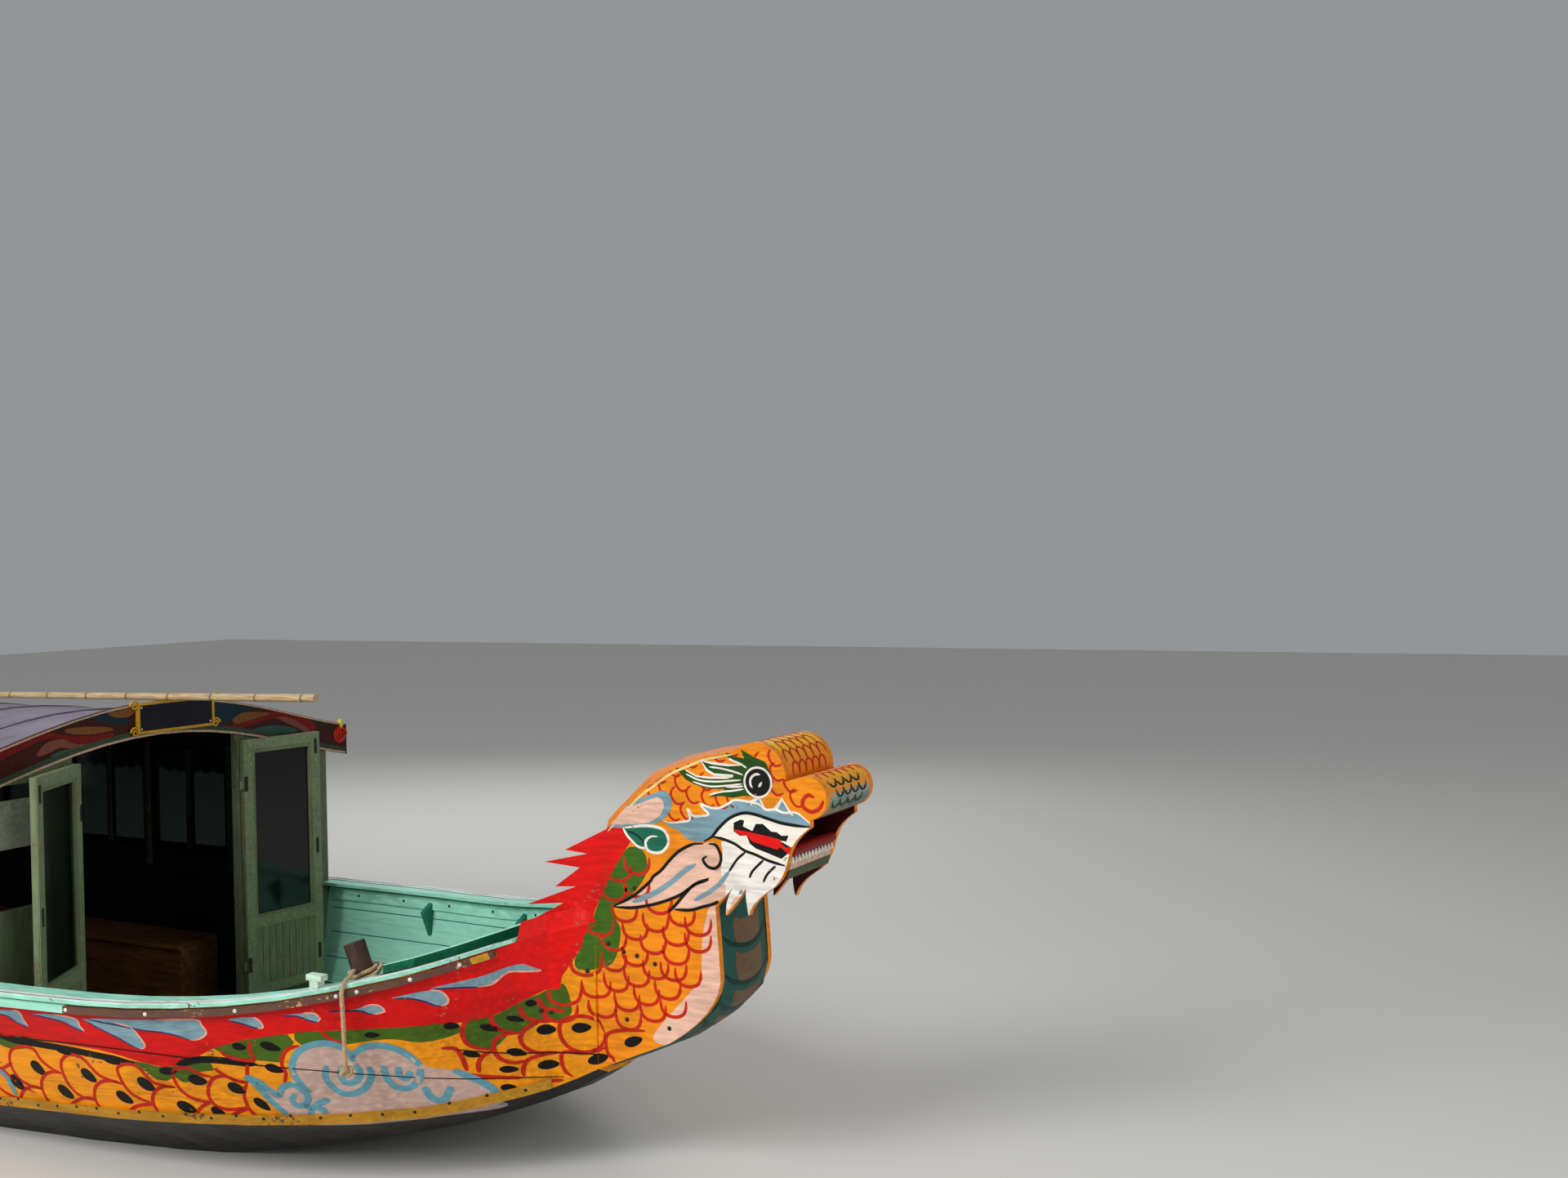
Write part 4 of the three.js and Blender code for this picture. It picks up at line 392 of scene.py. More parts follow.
# Brushed enamels of the solids: name, nodes, colour, what shows where it is worn, wear, roughness, relief, streak
UPRIGHT = (9, 9, 1.3)
ENAMELS = [
    ("bottom", "keel", "1E1B18", "3A332A", 0.6, 0.7),
    ("chine", "chine_band_*", "B88420", "5E4630", 0.9, 0.5),
    ("deck", "bow_deck stern_deck", "2F9A80", "6E5A44", 0.6, 0.5),
    ("dragon", "snout_top nape", "EC8408", "7A5838", 0.35, 0.55),
    ("mane", "lip_roll", "8A1008", "4A1A12", 0.35, 0.42),
    ("belly", "belly", "24544C", "4A4034", 0.4, 0.5),
    ("jaw", "upper_jaw lower_jaw", "5A2A20", "3A2A20", 0.6, 0.6),
    ("door", "door_*", "76805E", "7A664E", 0.95, 0.6, 0.5, UPRIGHT),
    ("front_frame", "front_frame", "6F7A5A", "6A5846", 0.8, 0.6, 0.5, UPRIGHT),
    ("wall", "house_side_* house_front house_aft stern_rail", "E4E0D2", "8C8474", 0.5, 0.5),
    ("blank_plate", "number_board", "14141E", "3A3A40", 0.4, 0.5),
    ("fascia", "front_fascia", "3E140E", "2A1E18", 0.6, 0.5),
    ("gutter", "eave_*", "8CC4D2", "6E6A5A", 0.5),
    ("house_fascia", "house_fascia", "1F5A62", "4A4034", 0.5),
    ("cleat", "cleat", "CDE6D0", "6E6A5A", 0.8),
    ("tail", "tail_side_* tail_plank", "4F9FC4", "6E5236", 0.4),
    ("mast", "nav_mast", "3F78B4", "5A4A3C", 0.5, 0.4),
    ("engine", "engine_block", "565C5A", "3A3026", 0.7, 0.45),
]
# Cured oil enamel reflects a little less than bare resin.
GLOSS = {"IOR": 1.4, "Specular_IOR_Level": 0.3}


# Materials

def linear(text):
    """An sRGB hex colour as linear red, green, blue and 1."""
    parts = [int(text[k:k + 2], 16) / 255 for k in (0, 2, 4)]
    return [c / 12.92 if c <= 0.04045 else ((c + 0.055) / 1.055) ** 2.4 for c in parts] + [1.0]


def shade(text, share):
    """A hex colour as linear values, darkened to a share of itself."""
    return [c * share for c in linear(text)[:3]] + [1]


def add(tree, kind, sockets=None, **settings):
    """Adds a node with its settings. A socket's value is a number, a colour or another node's output."""
    made = tree.nodes.new(kind)
    for key, value in settings.items():
        setattr(made, key, value)
    for key, value in (sockets or {}).items():
        if isinstance(value, bpy.types.NodeSocket):
            tree.links.new(value, made.inputs[key])
        else:
            made.inputs[key].default_value = value
    return made


def new_material(name):
    """An empty material and its node tree."""
    made = bpy.data.materials.new(name)
    made.use_nodes = True
    made.node_tree.nodes.clear()
    return made, made.node_tree


def finish(made, tree, colour, roughness, normal=None, **more):
    """Ends a material in a principled shader. More sockets are named with _ for each space."""
    sockets = {"Base Color": colour, "Roughness": roughness, **{key.replace("_", " "): more[key] for key in more}}
    if normal:
        sockets["Normal"] = normal
    shader = add(tree, "ShaderNodeBsdfPrincipled", sockets)
    add(tree, "ShaderNodeOutputMaterial", {"Surface": shader.outputs[0]})
    return made


def mixed(tree, factor, first, second):
    """The colour between two colours."""
    return add(tree, "ShaderNodeMix", {0: factor, 6: first, 7: second}, data_type="RGBA").outputs[2]


def ramp(tree, value, low, high):
    """A value stretched so that low gives 0 and high gives 1, clamped."""
    return add(tree, "ShaderNodeMapRange", {"Value": value, "From Min": low, "From Max": high}).outputs["Result"]


def spread(tree, value, low, high):
    """A value from 0 to 1 spread from low to high."""
    return add(tree, "ShaderNodeMapRange", {"Value": value, "To Min": low, "To Max": high}).outputs["Result"]


def arith(tree, operation, *values):
    """The outcome of a sum or a comparison of one or two values."""
    return add(tree, "ShaderNodeMath", dict(enumerate(values)), operation=operation).outputs[0]


def place(tree, scale=(1, 1, 1)):
    """Object coordinates in metres, stretched by scale."""
    where = add(tree, "ShaderNodeTexCoord").outputs["Object"]
    return add(tree, "ShaderNodeMapping", {"Vector": where, "Scale": scale}).outputs["Vector"]


def noise(tree, scale, detail=2.0, stretch=(1, 1, 1), distortion=0.0):
    """Noise with scale cells to a metre, longer along an axis whose stretch is small."""
    return add(tree, "ShaderNodeTexNoise", {"Vector": place(tree, stretch), "Scale": scale, "Detail": detail,
                                            "Distortion": distortion}).outputs[0]


def spot(tree):
    """The place on the boat as x, y and z in metres."""
    return add(tree, "ShaderNodeSeparateXYZ", {0: place(tree)}).outputs


def facing(tree):
    """The face's own normal as x, y and z."""
    normal = add(tree, "ShaderNodeNewGeometry").outputs["True Normal"]
    return add(tree, "ShaderNodeSeparateXYZ", {0: normal}).outputs


def inboard(tree):
    """1 where a face looks towards the boat's middle."""
    return arith(tree, "LESS_THAN", arith(tree, "MULTIPLY", facing(tree)[1], spot(tree)[1]), -0.002)


def brushed(tree, brush, text, share):
    """A hex colour that brush marks darken to a share of itself."""
    return mixed(tree, ramp(tree, brush, 0.4, 0.7), linear(text), shade(text, share))


def repeat(tree, value, rate):
    """How far a value in metres lies between two marks, from 0 to 1, with rate marks to a metre."""
    return arith(tree, "FRACT", arith(tree, "MULTIPLY", value, rate))


def relief(tree, height, strength, depth, **more):
    """A normal with grain or brush marks, depth in metres."""
    return add(tree, "ShaderNodeBump", {"Height": height, "Strength": strength, "Distance": depth, **more}).outputs[0]


def brushed_coat(tree, colour, under, wear, streak=(1.3, 9, 9)):
    """Brushed paint on wood: its colour, its wear as a mask and its height."""
    # A coat laid by hand varies over 300 mm and along the brush, and lets the wood show at chips 15 mm wide.
    cloudy = noise(tree, 3.2, 3.0)
    brush = noise(tree, 5.0, 4.0, streak)
    chips = noise(tree, 66.0, 4.0, (0.6, 1, 1))
    region = noise(tree, 5.0, 2.0)
    lighter = [min(1, c * 1.16 + 0.001) for c in linear(colour)[:3]] + [1]
    body = mixed(tree, ramp(tree, cloudy, 0.35, 0.68), shade(colour, 0.72), linear(colour))
    body = mixed(tree, ramp(tree, brush, 0.42, 0.72), body, lighter)
    mask = ramp(tree, arith(tree, "MULTIPLY", chips, region), 0.46 - 0.12 * wear, 0.49 - 0.12 * wear)
    return mixed(tree, mask, body, linear(under)), mask, brush


def boat_enamel(name, colour, under="8A6A4C", wear=0.4, roughness=0.42, grain=0.35, streak=(1.3, 9, 9)):
    """Oil enamel brushed on wood: an even colour with brush marks, chips that show wood, and a soft gloss."""
    made, tree = new_material(name)
    coat, mask, brush = brushed_coat(tree, colour, under, wear, streak)
    height = arith(tree, "ADD", brush, arith(tree, "MULTIPLY", mask, -0.6))
    return finish(made, tree, coat, spread(tree, brush, roughness - 0.1, roughness + 0.18),
                  relief(tree, height, grain, 0.003), **GLOSS)


def oiled_wood(name, light, dark, stretch=(0.07, 1, 1), ring=42.0, roughness=0.6):
    """Sawn hardwood, oiled and worn: grain lines 8 to 20 mm apart that run along the plank."""
    made, tree = new_material(name)
    grain = noise(tree, ring, 5.0, stretch, 0.6)
    wood = mixed(tree, ramp(tree, grain, 0.35, 0.66), linear(dark), linear(light))
    wood = mixed(tree, ramp(tree, noise(tree, 4.0), 0.45, 0.75), wood, linear(dark))
    return finish(made, tree, wood, roughness, relief(tree, grain, 0.4, 0.002))


def hull_enamel(orange, bottom, inside):
    """Hull enamel over lapped planks: orange topsides, black bottom paint, turquoise inside the open bow, and painted
    shade, near black, inside under the cabin.
    """
    made, tree = new_material("hull_enamel")
    out, _, brush = brushed_coat(tree, orange, "6E5236", 0.45)
    dark = mixed(tree, ramp(tree, noise(tree, 7.0, 4.0), 0.4, 0.7), linear(bottom), linear("28231D"))
    skin = mixed(tree, arith(tree, "LESS_THAN", facing(tree)[2], -0.5), out, dark)
    # Inside the hull aft of the cabin front the planking is near black: painted shade under the cabin roof.
    open_bow = arith(tree, "GREATER_THAN", spot(tree)[0], CABIN_FRONT_X * MM)
    lining_and_cabin_shade = mixed(tree, open_bow, linear("2A221A"), brushed(tree, brush, inside, 0.86))
    skin = mixed(tree, inboard(tree), skin, lining_and_cabin_shade)
    # Plank seams every 210 mm up the side.
    groove = add(tree, "ShaderNodeMapRange", {"Value": repeat(tree, spot(tree)[2], 4.76), "From Max": 0.02,
                                              "To Min": -1.5, "To Max": 0.0}).outputs["Result"]
    return finish(made, tree, skin, spread(tree, brush, 0.32, 0.6),
                  relief(tree, arith(tree, "ADD", brush, groove), 0.4, 0.004), **GLOSS)


def rail_enamel(brown, pale, change_x):
    """Rubbing strake of tarred brown hardwood, painted pale turquoise aft of change_x in metres."""
    made, tree = new_material("rail_enamel")
    wood, _, brush = brushed_coat(tree, brown, "B08A66", 0.8)
    aft = arith(tree, "LESS_THAN", spot(tree)[0], change_x)
    colour = mixed(tree, aft, wood, brushed(tree, brush, pale, 0.85))
    return finish(made, tree, colour, 0.55, relief(tree, brush, 0.5, 0.003))


def shaded_roll_enamel(name, roll, stops):
    """Enamel that changes colour with height round a roll: painted shade low down and a painted highlight on top.
    Each stop is a share of the roll's height and its colour.
    """
    made, tree = new_material(name)
    height = ramp(tree, spot(tree)[2], (roll["z"] - roll["radius"]) * MM, (roll["z"] + roll["radius"]) * MM)
    # Painted shade low on the roll and a painted highlight on its top, by height.
    painted_light_ramp = add(tree, "ShaderNodeValToRGB", {"Fac": height})
    while len(painted_light_ramp.color_ramp.elements) < len(stops):
        painted_light_ramp.color_ramp.elements.new(0.5)
    for element, (share, colour) in zip(painted_light_ramp.color_ramp.elements, stops):
        element.position = share
        element.color = linear(colour)
    brush = noise(tree, 5.0, 4.0, (9, 1.3, 9))
    coat = mixed(tree, ramp(tree, brush, 0.4, 0.75), painted_light_ramp.outputs[0], linear("F2B33C"))
    coat = mixed(tree, 0.35, painted_light_ramp.outputs[0], coat)
    coat = mixed(tree, ramp(tree, noise(tree, 60.0, 4.0), 0.68, 0.7), coat, linear("6E4A2C"))
    return finish(made, tree, coat, spread(tree, brush, 0.34, 0.58), relief(tree, brush, 0.3, 0.003), **GLOSS)


def inboard_shaded_enamel(name, outer, inner, under="7A5838", wear=0.35):
    """Enamel of one colour outside a pair of boards and a near black one on the faces that look inboard: painted
    shade inside.
    """
    made, tree = new_material(name)
    coat, _, brush = brushed_coat(tree, outer, under, wear)
    # Painted shade: the faces that look inboard take the dark colour.
    colour = mixed(tree, inboard(tree), coat, brushed(tree, brush, inner, 0.6))
    return finish(made, tree, colour, spread(tree, brush, 0.32, 0.58), relief(tree, brush, 0.35, 0.003), **GLOSS)


def lit_top_enamel(name, sides, top):
    """Enamel of one colour on the upright faces and a paler one on faces that look up: painted light on the top edge.
    """
    made, tree = new_material(name)
    coat, _, brush = brushed_coat(tree, sides, "5A5040", 0.45)
    # Painted light: faces that look up take the pale colour, as if the sun lit them.
    up = arith(tree, "GREATER_THAN", facing(tree)[2], 0.6)
    return finish(made, tree, mixed(tree, up, coat, brushed(tree, brush, top, 0.86)), 0.5,
                  relief(tree, brush, 0.35, 0.003), **GLOSS)


def valance_cloth():
    """Cotton valance: a fine weave, blue with an orange heading 24 mm deep, faded in patches."""
    made, tree = new_material("valance_cotton")
    weave = noise(tree, 420.0, 2.0)
    blue = mixed(tree, ramp(tree, noise(tree, 6.0, 3.0), 0.4, 0.7), linear("1E6CB4"), linear("3E8CCC"))
    colour = mixed(tree, arith(tree, "GREATER_THAN", spot(tree)[2], 1.662), blue, linear("E09A20"))
    colour = mixed(tree, ramp(tree, weave, 0.5, 0.7), colour, linear("2A4A72"))
    return finish(made, tree, colour, 0.9, relief(tree, weave, 0.4, 0.0008), Sheen_Weight=0.2)


def window_glass():
    """Smoke-tinted float glass with dust, which lifts its roughness in streaks."""
    made, tree = new_material("window_glass")
    rough = spread(tree, noise(tree, 9.0, 5.0, (1, 1, 2)), 0.03, 0.16)
    return finish(made, tree, linear("232B2A"), rough, IOR=1.45, Transmission_Weight=0.92)


def cast_metal(name, bright, tarnish, roughness):
    """Cast or forged metal, tarnished in patches 20 to 60 mm wide."""
    made, tree = new_material(name)
    patch = noise(tree, 24.0, 6.0)
    amount = ramp(tree, patch, 0.42, 0.64)
    return finish(made, tree, mixed(tree, amount, linear(bright), linear(tarnish)),
                  spread(tree, amount, roughness, 0.85), relief(tree, patch, 0.5, 0.003),
                  Metallic=spread(tree, amount, 0.95, 0.25))


def roof_felt(name, colour, streaks, band):
    """Painted roofing sheet, chalky, with dirt washed down the slope, a lap at every band metres, and painted shade,
    near black, on its underside.
    """
    made, tree = new_material(name)
    speck = noise(tree, 90.0, 3.0)
    skin = mixed(tree, ramp(tree, noise(tree, 2.4, 4.0), 0.38, 0.7), linear(colour), shade(colour, 0.7))
    skin = mixed(tree, ramp(tree, noise(tree, 3.0, 5.0, (9, 1.2, 1.2)), 0.52, 0.78), skin, linear(streaks))
    skin = mixed(tree, ramp(tree, speck, 0.6, 0.7), skin, linear("5E5650"))
    # Painted shade: faces that look down, under the roof, are made near black.
    skin = mixed(tree, arith(tree, "LESS_THAN", facing(tree)[2], -0.1), skin, linear("2A231C"))
    lap = relief(tree, ramp(tree, repeat(tree, spot(tree)[0], 1 / band), 0, 0.03), 0.6, 0.004)
    return finish(made, tree, skin, 0.82, relief(tree, speck, 0.25, 0.002, Normal=lap))


def bamboo_cane():
    """Seasoned bamboo: straw to grey along the cane, darker at each node 340 mm apart, a waxy skin."""
    made, tree = new_material("bamboo_cane")
    fibre = noise(tree, 160.0, 3.0, (0.05, 1, 1))
    cane = mixed(tree, ramp(tree, fibre, 0.35, 0.7), linear("A98A62"), linear("D6BC92"))
    cane = mixed(tree, ramp(tree, repeat(tree, spot(tree)[0], 1 / 0.34), 0.07, 0.0), cane, linear("5C4630"))
    return finish(made, tree, cane, 0.42, relief(tree, fibre, 0.3, 0.001))


def laid_rope():
    """Manila rope: sandy fibre in lighter and darker flecks, fuzzy and matt."""
    made, tree = new_material("manila_rope")
    fibre = noise(tree, 260.0, 4.0)
    colour = mixed(tree, ramp(tree, fibre, 0.35, 0.65), linear("8C6C42"), linear("D2B486"))
    return finish(made, tree, colour, 0.9, relief(tree, fibre, 0.6, 0.0015), Sheen_Weight=0.3)


PAINT_MATERIALS = {}


def paint(name, colour=None):
    """The enamel of a painted figure, made once for each name."""
    if name not in PAINT_MATERIALS:
        wear = 0.25 if name in ("line_black", "drop_black") else 0.35
        PAINT_MATERIALS[name] = boat_enamel(name + "_enamel", colour or PAINTS[name], wear=wear, roughness=0.45,
                                            grain=0.25)
    return PAINT_MATERIALS[name]


# Shapes: vertices in metres and faces that point outwards

class Shape:
    """One piece's mesh while it is being gathered."""

    def __init__(self):
        self.points = []
        self.faces = []

    def take(self, points, faces, mirrored=False):
        """Adds points and faces, with their mirror image across the boat where mirrored."""
        for way in (1, -1)[:1 + mirrored]:
            start = len(self.points)
            self.points += [(x, way * y, z) for x, y, z in points]
            self.faces += [[start + k for k in face[::way]] for face in faces]
        return self

    def line(self, skin, points, width, coat, taper=0.35, mirrored=True):
        """Adds a painted line."""
        return self.take(*ribbon(skin, points, width, coat, taper), mirrored)

    def area(self, skin, outline, coat, mirrored=True):
        """Adds a painted area."""
        return self.take(*plate(skin, outline, coat), mirrored)


def piece(name, shape, look, body="boat", smooth=False):
    """Makes one object from a gathered shape and rides it on a body. The look is a material or a paint's name."""
    mesh = bpy.data.meshes.new(name)
    mesh.from_pydata(shape.points, [], shape.faces)
    mesh.validate()
    shell = bmesh.new()
    shell.from_mesh(mesh)
    bmesh.ops.recalc_face_normals(shell, faces=shell.faces)
    shell.to_mesh(mesh)
    shell.free()
    mesh.update()
    made = bpy.data.objects.new(name, mesh)
    bpy.context.scene.collection.objects.link(made)
    mesh.materials.append(paint(look) if isinstance(look, str) else look)
    if smooth:
        for face in mesh.polygons:
            face.use_smooth = True
        mesh.set_sharp_from_angle(angle=math.radians(38))
    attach(made, body)
    return made


def block(low, high):
    """A block between two corners, in millimetres given, metres out."""
    (ax, ay, az), (bx, by, bz) = low, high
    points = [(x * MM, y * MM, z * MM) for x in (ax, bx) for y in (ay, by) for z in (az, bz)]
    faces = [(0, 1, 3, 2), (4, 6, 7, 5), (0, 4, 5, 1), (2, 3, 7, 6), (0, 2, 6, 4), (1, 5, 7, 3)]
    return points, faces


def section(x, corners):
    """A ring of points at x from pairs of y and z, in millimetres given, metres out."""
    return [(x * MM, y * MM, z * MM) for y, z in corners]


def loft(rings, closed=False):
    """Faces through rings of equal length, each ring a list of points around a closed section."""
    count = len(rings[0])
    points = [tuple(p) for ring in rings for p in ring]
    faces = []
    for k in range(len(rings) if closed else len(rings) - 1):
        here, there = k * count, (k + 1) % len(rings) * count
        for at in range(count):
            after = (at + 1) % count
            faces.append((here + at, here + after, there + after, there + at))
    if not closed:
        faces.append(tuple(range(count - 1, -1, -1)))
        faces.append(tuple(range((len(rings) - 1) * count, len(rings) * count)))
    return points, faces


def tube(path, radius, sides=10, closed=False, strands=0):
    """A tube along a path of points in metres, round or of laid strands."""
    path = [Vector(p) for p in path]
    rings = []
    across = None
    for k, point in enumerate(path):
        ahead = path[(k + 1) % len(path)] if closed or k + 1 < len(path) else point
        behind = path[k - 1] if closed or k else point
        along = (ahead - behind).normalized()
        if across is None:
            across = along.orthogonal().normalized()
        across = (across - along * across.dot(along)).normalized()
        upward = along.cross(across)
        ring = []
        for t in [math.tau * s / sides for s in range(sides)]:
            reach = radius * (0.9 + 0.1 * math.cos(strands * (t - k * 0.5)) if strands else 1)
            ring.append(point + (across * math.cos(t) + upward * math.sin(t)) * reach)
        rings.append(ring)
    return loft(rings, closed)


def dome(centre, normal, radius, height, sides=10):
    """A round head that stands on a surface with its foot sunk, in metres."""
    normal = Vector(normal).normalized()
    across = normal.orthogonal().normalized()
    upward = normal.cross(across)
    rings = [[Vector(centre) + (across * math.cos(t) + upward * math.sin(t)) * radius * reach + normal * height * rise
              for t in [math.tau * s / sides for s in range(sides)]]
             for reach, rise in ((1, -0.3), (1, 0.3), (0.72, 0.8), (0.3, 1))]
    return loft(rings)


def spiral(centre, radius, turns, turn_way, lift):
    """Points of a spiral that winds inwards round a centre and stands out by lift, in metres."""
    count = round(turns * 16)
    return [(centre[0] + lift, centre[1] + turn_way * radius * (1 - 0.85 * k / count) * math.cos(math.tau * k / 16),
             centre[2] + radius * (1 - 0.85 * k / count) * math.sin(math.tau * k / 16)) for k in range(count + 1)]


def smooth_line(points, spacing=16, closed=False):
    """A smooth line through points given as tuples, sampled about every spacing."""
    count = len(points)
    result = []
    for k in range(count if closed else count - 1):
        if closed:
            near = [(k + j) % count for j in (-1, 0, 1, 2)]
        else:
            near = [min(max(k + j, 0), count - 1) for j in (-1, 0, 1, 2)]
        a, b, c, d = (Vector(points[j]) for j in near)
        steps = max(1, round((c - b).length / spacing))
        for t in [step / steps for step in range(steps)]:
            result.append(0.5 * (2 * b + (c - a) * t + (2 * a - 5 * b + 4 * c - d) * t * t
                                 + (3 * b - a - 3 * c + d) * t ** 3))
    if not closed:
        result.append(Vector(points[-1]))
    return [tuple(p) for p in result]


# Skins: what paint lies on. Each gives the point in metres and the outward normal at u, v in millimetres.

class Skin:
    """The faces of some nodes that look along one axis, seen square on, as paint is laid on them."""

    def __init__(self, names, axis, start=9.0):
        self.axis = axis
        self.start = start
        self.outward = Vector([(1, 0, 0), (0, -1, 0), (0, 0, 1)][axis])
        points, faces, folds = [], [], set()
        for name in names:
            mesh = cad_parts[name].data
            first = len(points)
            points += [v.co.copy() for v in mesh.vertices]
            for polygon in mesh.polygons:
                if polygon.normal.dot(self.outward) > 0.2:
                    faces.append([first + k for k in polygon.vertices])
        self.tree = BVHTree.FromPolygons(points, faces)
        flat = [tuple(round(c, 5) for c in self.flatten(p)) for p in points]
        for face in faces:
            for a, b in zip(face, face[1:] + face[:1]):
                folds.add(tuple(sorted((flat[a], flat[b]))))
        self.folds = list(folds)

    def flatten(self, p):
        """A point as seen along the skin's axis."""
        return [(p[1], p[2]), (p[0], p[2]), (p[0], p[1])][self.axis]

    def at(self, u, v):
        """The point and normal at u, v, or None beside the skin."""
        u, v = u * MM, v * MM
        seen = Vector([(0, u, v), (u, 0, v), (u, v, 0)][self.axis])
        point, normal, _, _ = self.tree.ray_cast(seen + self.outward * self.start, -self.outward)
        return None if point is None else (point, normal)


class RollSkin:
    """The outside of one of the head's rolls: u runs along it from starboard, v round it from the top."""

    def __init__(self, roll):
        self.roll = roll

    def at(self, u, v):
        """The point and normal at u, v."""
        turn = v / self.roll["radius"]
        normal = Vector((math.sin(turn), 0, math.cos(turn)))
        centre = Vector((self.roll["x"] * MM, u * MM, self.roll["z"] * MM))
        return centre + normal * self.roll["radius"] * MM, normal


def anticlockwise(loop):
    """The loop, turned round if it runs clockwise."""
    twice = sum(a[0] * b[1] - b[0] * a[1] for a, b in zip(loop, loop[1:] + loop[:1]))
    return loop if twice > 0 else loop[::-1]


def plate(skin, outline, coat):
    """A painted area: a thin closed plate on a skin, cut along the skin's own folds and edge."""
    corners = [Vector((u * MM, v * MM)) for u, v in anticlockwise(outline)]
    low = [min(c[k] for c in corners) - 0.01 for k in (0, 1)]
    high = [max(c[k] for c in corners) + 0.01 for k in (0, 1)]
    coords = list(corners)
    edges = []
    for a, b in skin.folds:
        if any(max(a[k], b[k]) < low[k] or min(a[k], b[k]) > high[k] for k in (0, 1)):
            continue
        edges.append((len(coords), len(coords) + 1))
        coords += [Vector(a), Vector(b)]
    flat, _, made, _, _, sources = delaunay_2d_cdt(coords, edges, [list(range(len(corners)))], 0, 1e-6)
    flat = [(p.x / MM, p.y / MM) for p in flat]
    kept = [face for face, source in zip(made, sources) if 0 in source and on_skin(skin, flat, face)]
    return raised(skin, flat, kept, coat)


def on_skin(skin, flat, face):
    """Whether a flat face's middle lies on the skin."""
    middle = [sum(flat[k][axis] for k in face) / len(face) for axis in (0, 1)]
    return skin.at(*middle) is not None


def raised(skin, flat, kept, coat):
    """Closes a sheet of flat faces on a skin into a thin solid."""
    spots, number = {}, {}
    for k in {k for face in kept for k in face}:
        u, v = flat[k]
        # A corner on the skin's very edge is read just beside it.
        near = (skin.at(u + du, v + dv) for du, dv in ((0, 0), (-0.4, 0), (0.4, 0), (0, -0.4), (0, 0.4)))
        spots[k] = next((found for found in near if found), None)
    kept = [face for face in kept if all(spots[k] for k in face)]
    points, faces, rim = [], [], {}
    for k in [k for face in kept for k in face]:
        if k not in number:
            number[k] = len(points)
            point, normal = spots[k]
            points += [point + normal * coat * MM, point - normal * FOOT * MM]
    for face in kept:
        a, b, c = (points[number[k]] for k in face[:3])
        turned = (b - a).cross(c - a).dot(spots[face[0]][1]) < 0
        front = [number[k] for k in (reversed(face) if turned else face)]
        faces += [front, [k + 1 for k in reversed(front)]]
        for p, q in zip(front, front[1:] + front[:1]):
            if (q, p) in rim:
                del rim[(q, p)]
            else:
                rim[(p, q)] = True
    return points, faces + [(q, p, p + 1, q + 1) for p, q in rim]


def ribbon(skin, line, width, coat, taper=0.35):
    """A painted line: a thin closed strip along a line on a skin, narrowed at its ends by taper."""
    line = [Vector(p) for p in line]
    rings = []
    last = len(line) - 1
    for k, here in enumerate(line):
        along = line[min(k + 1, last)] - line[max(k - 1, 0)]
        if along.length < 1e-6:
            continue
        across = Vector((-along.y, along.x)).normalized()
        end = min(k, last - k) / max(1, last)
        half = width / 2 * min(1, taper + (1 - taper) * end * 8)
        left, right = skin.at(*(here + across * half)), skin.at(*(here - across * half))
        if left is None or right is None:
            if len(rings) > 2:
                break
            continue
        rings.append([left[0] + left[1] * coat * MM, right[0] + right[1] * coat * MM,
                      right[0] - right[1] * FOOT * MM, left[0] - left[1] * FOOT * MM])
    return loft(rings) if len(rings) > 1 else ([], [])


def between(rows, x):
    """The values at x on straight lines through rows, each of which is an x and its values."""
    for before, after in zip(rows, rows[1:]):
        if x <= after[0]:
            share = max(0, (x - before[0]) / (after[0] - before[0]))
            return [a + (b - a) * share for a, b in zip(before[1:], after[1:])]
    return list(rows[-1][1:])


class Level:
    """A line read off a node's lowest or highest corners: z for each x, or for each y, in millimetres."""

    def __init__(self, name, pick, axis=0):
        rows = {}
        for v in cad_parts[name].data.vertices:
            x = round(v.co[axis] / MM, 1)
            rows[x] = pick(rows[x], v.co.z / MM) if x in rows else v.co.z / MM
        self.rows = sorted(rows.items())

    def __call__(self, x):
        return between(self.rows, x)[0]


class Edge:
    """A rail or cap along the boat: its outer y, inner y and top z for each x, in millimetres."""

    def __init__(self, name):
        rows = {}
        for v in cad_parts[name].data.vertices:
            rows.setdefault(round(v.co.x / MM), []).append((v.co.y / MM, v.co.z / MM))
        self.rows = []
        for x, spots in sorted(rows.items()):
            across = [y for y, z in spots]
            if max(across) - min(across) > 20:
                self.rows.append((x, min(across), max(across), max(z for y, z in spots)))

    def __call__(self, x):
        return between(self.rows, x)

    def strip(self, first, last, proud, start, stop):
        """A strip on the top between two shares of the width, proud by millimetres, from start to stop by x."""
        count = max(2, round((stop - start) / 90))
        rings = []
        for x in [start + (stop - start) * k / count for k in range(count + 1)]:
            outer, inner, top = self(x)
            a, b = outer + (inner - outer) * first, outer + (inner - outer) * last
            rings.append(section(x, ((a, top - FOOT), (b, top - FOOT), (b, top + proud), (a, top + proud))))
        return loft(rings)


sheer = Level("gunwale_cap_starboard", min)
gunwale = Level("hull_shell", max)
chine = Level("chine_band_starboard", min)
chine_top = Level("chine_band_starboard", max)
fascia_foot = Level("front_fascia", min, 1)
fascia_head = Level("front_fascia", max, 1)
cap = Edge("gunwale_cap_starboard")
rail = Edge("rub_rail_starboard")

side = Skin(["hull_shell", "head_side_starboard"], 1)
board = Skin(["head_side_starboard"], 1)
planking = Skin(["hull_shell"], 1)
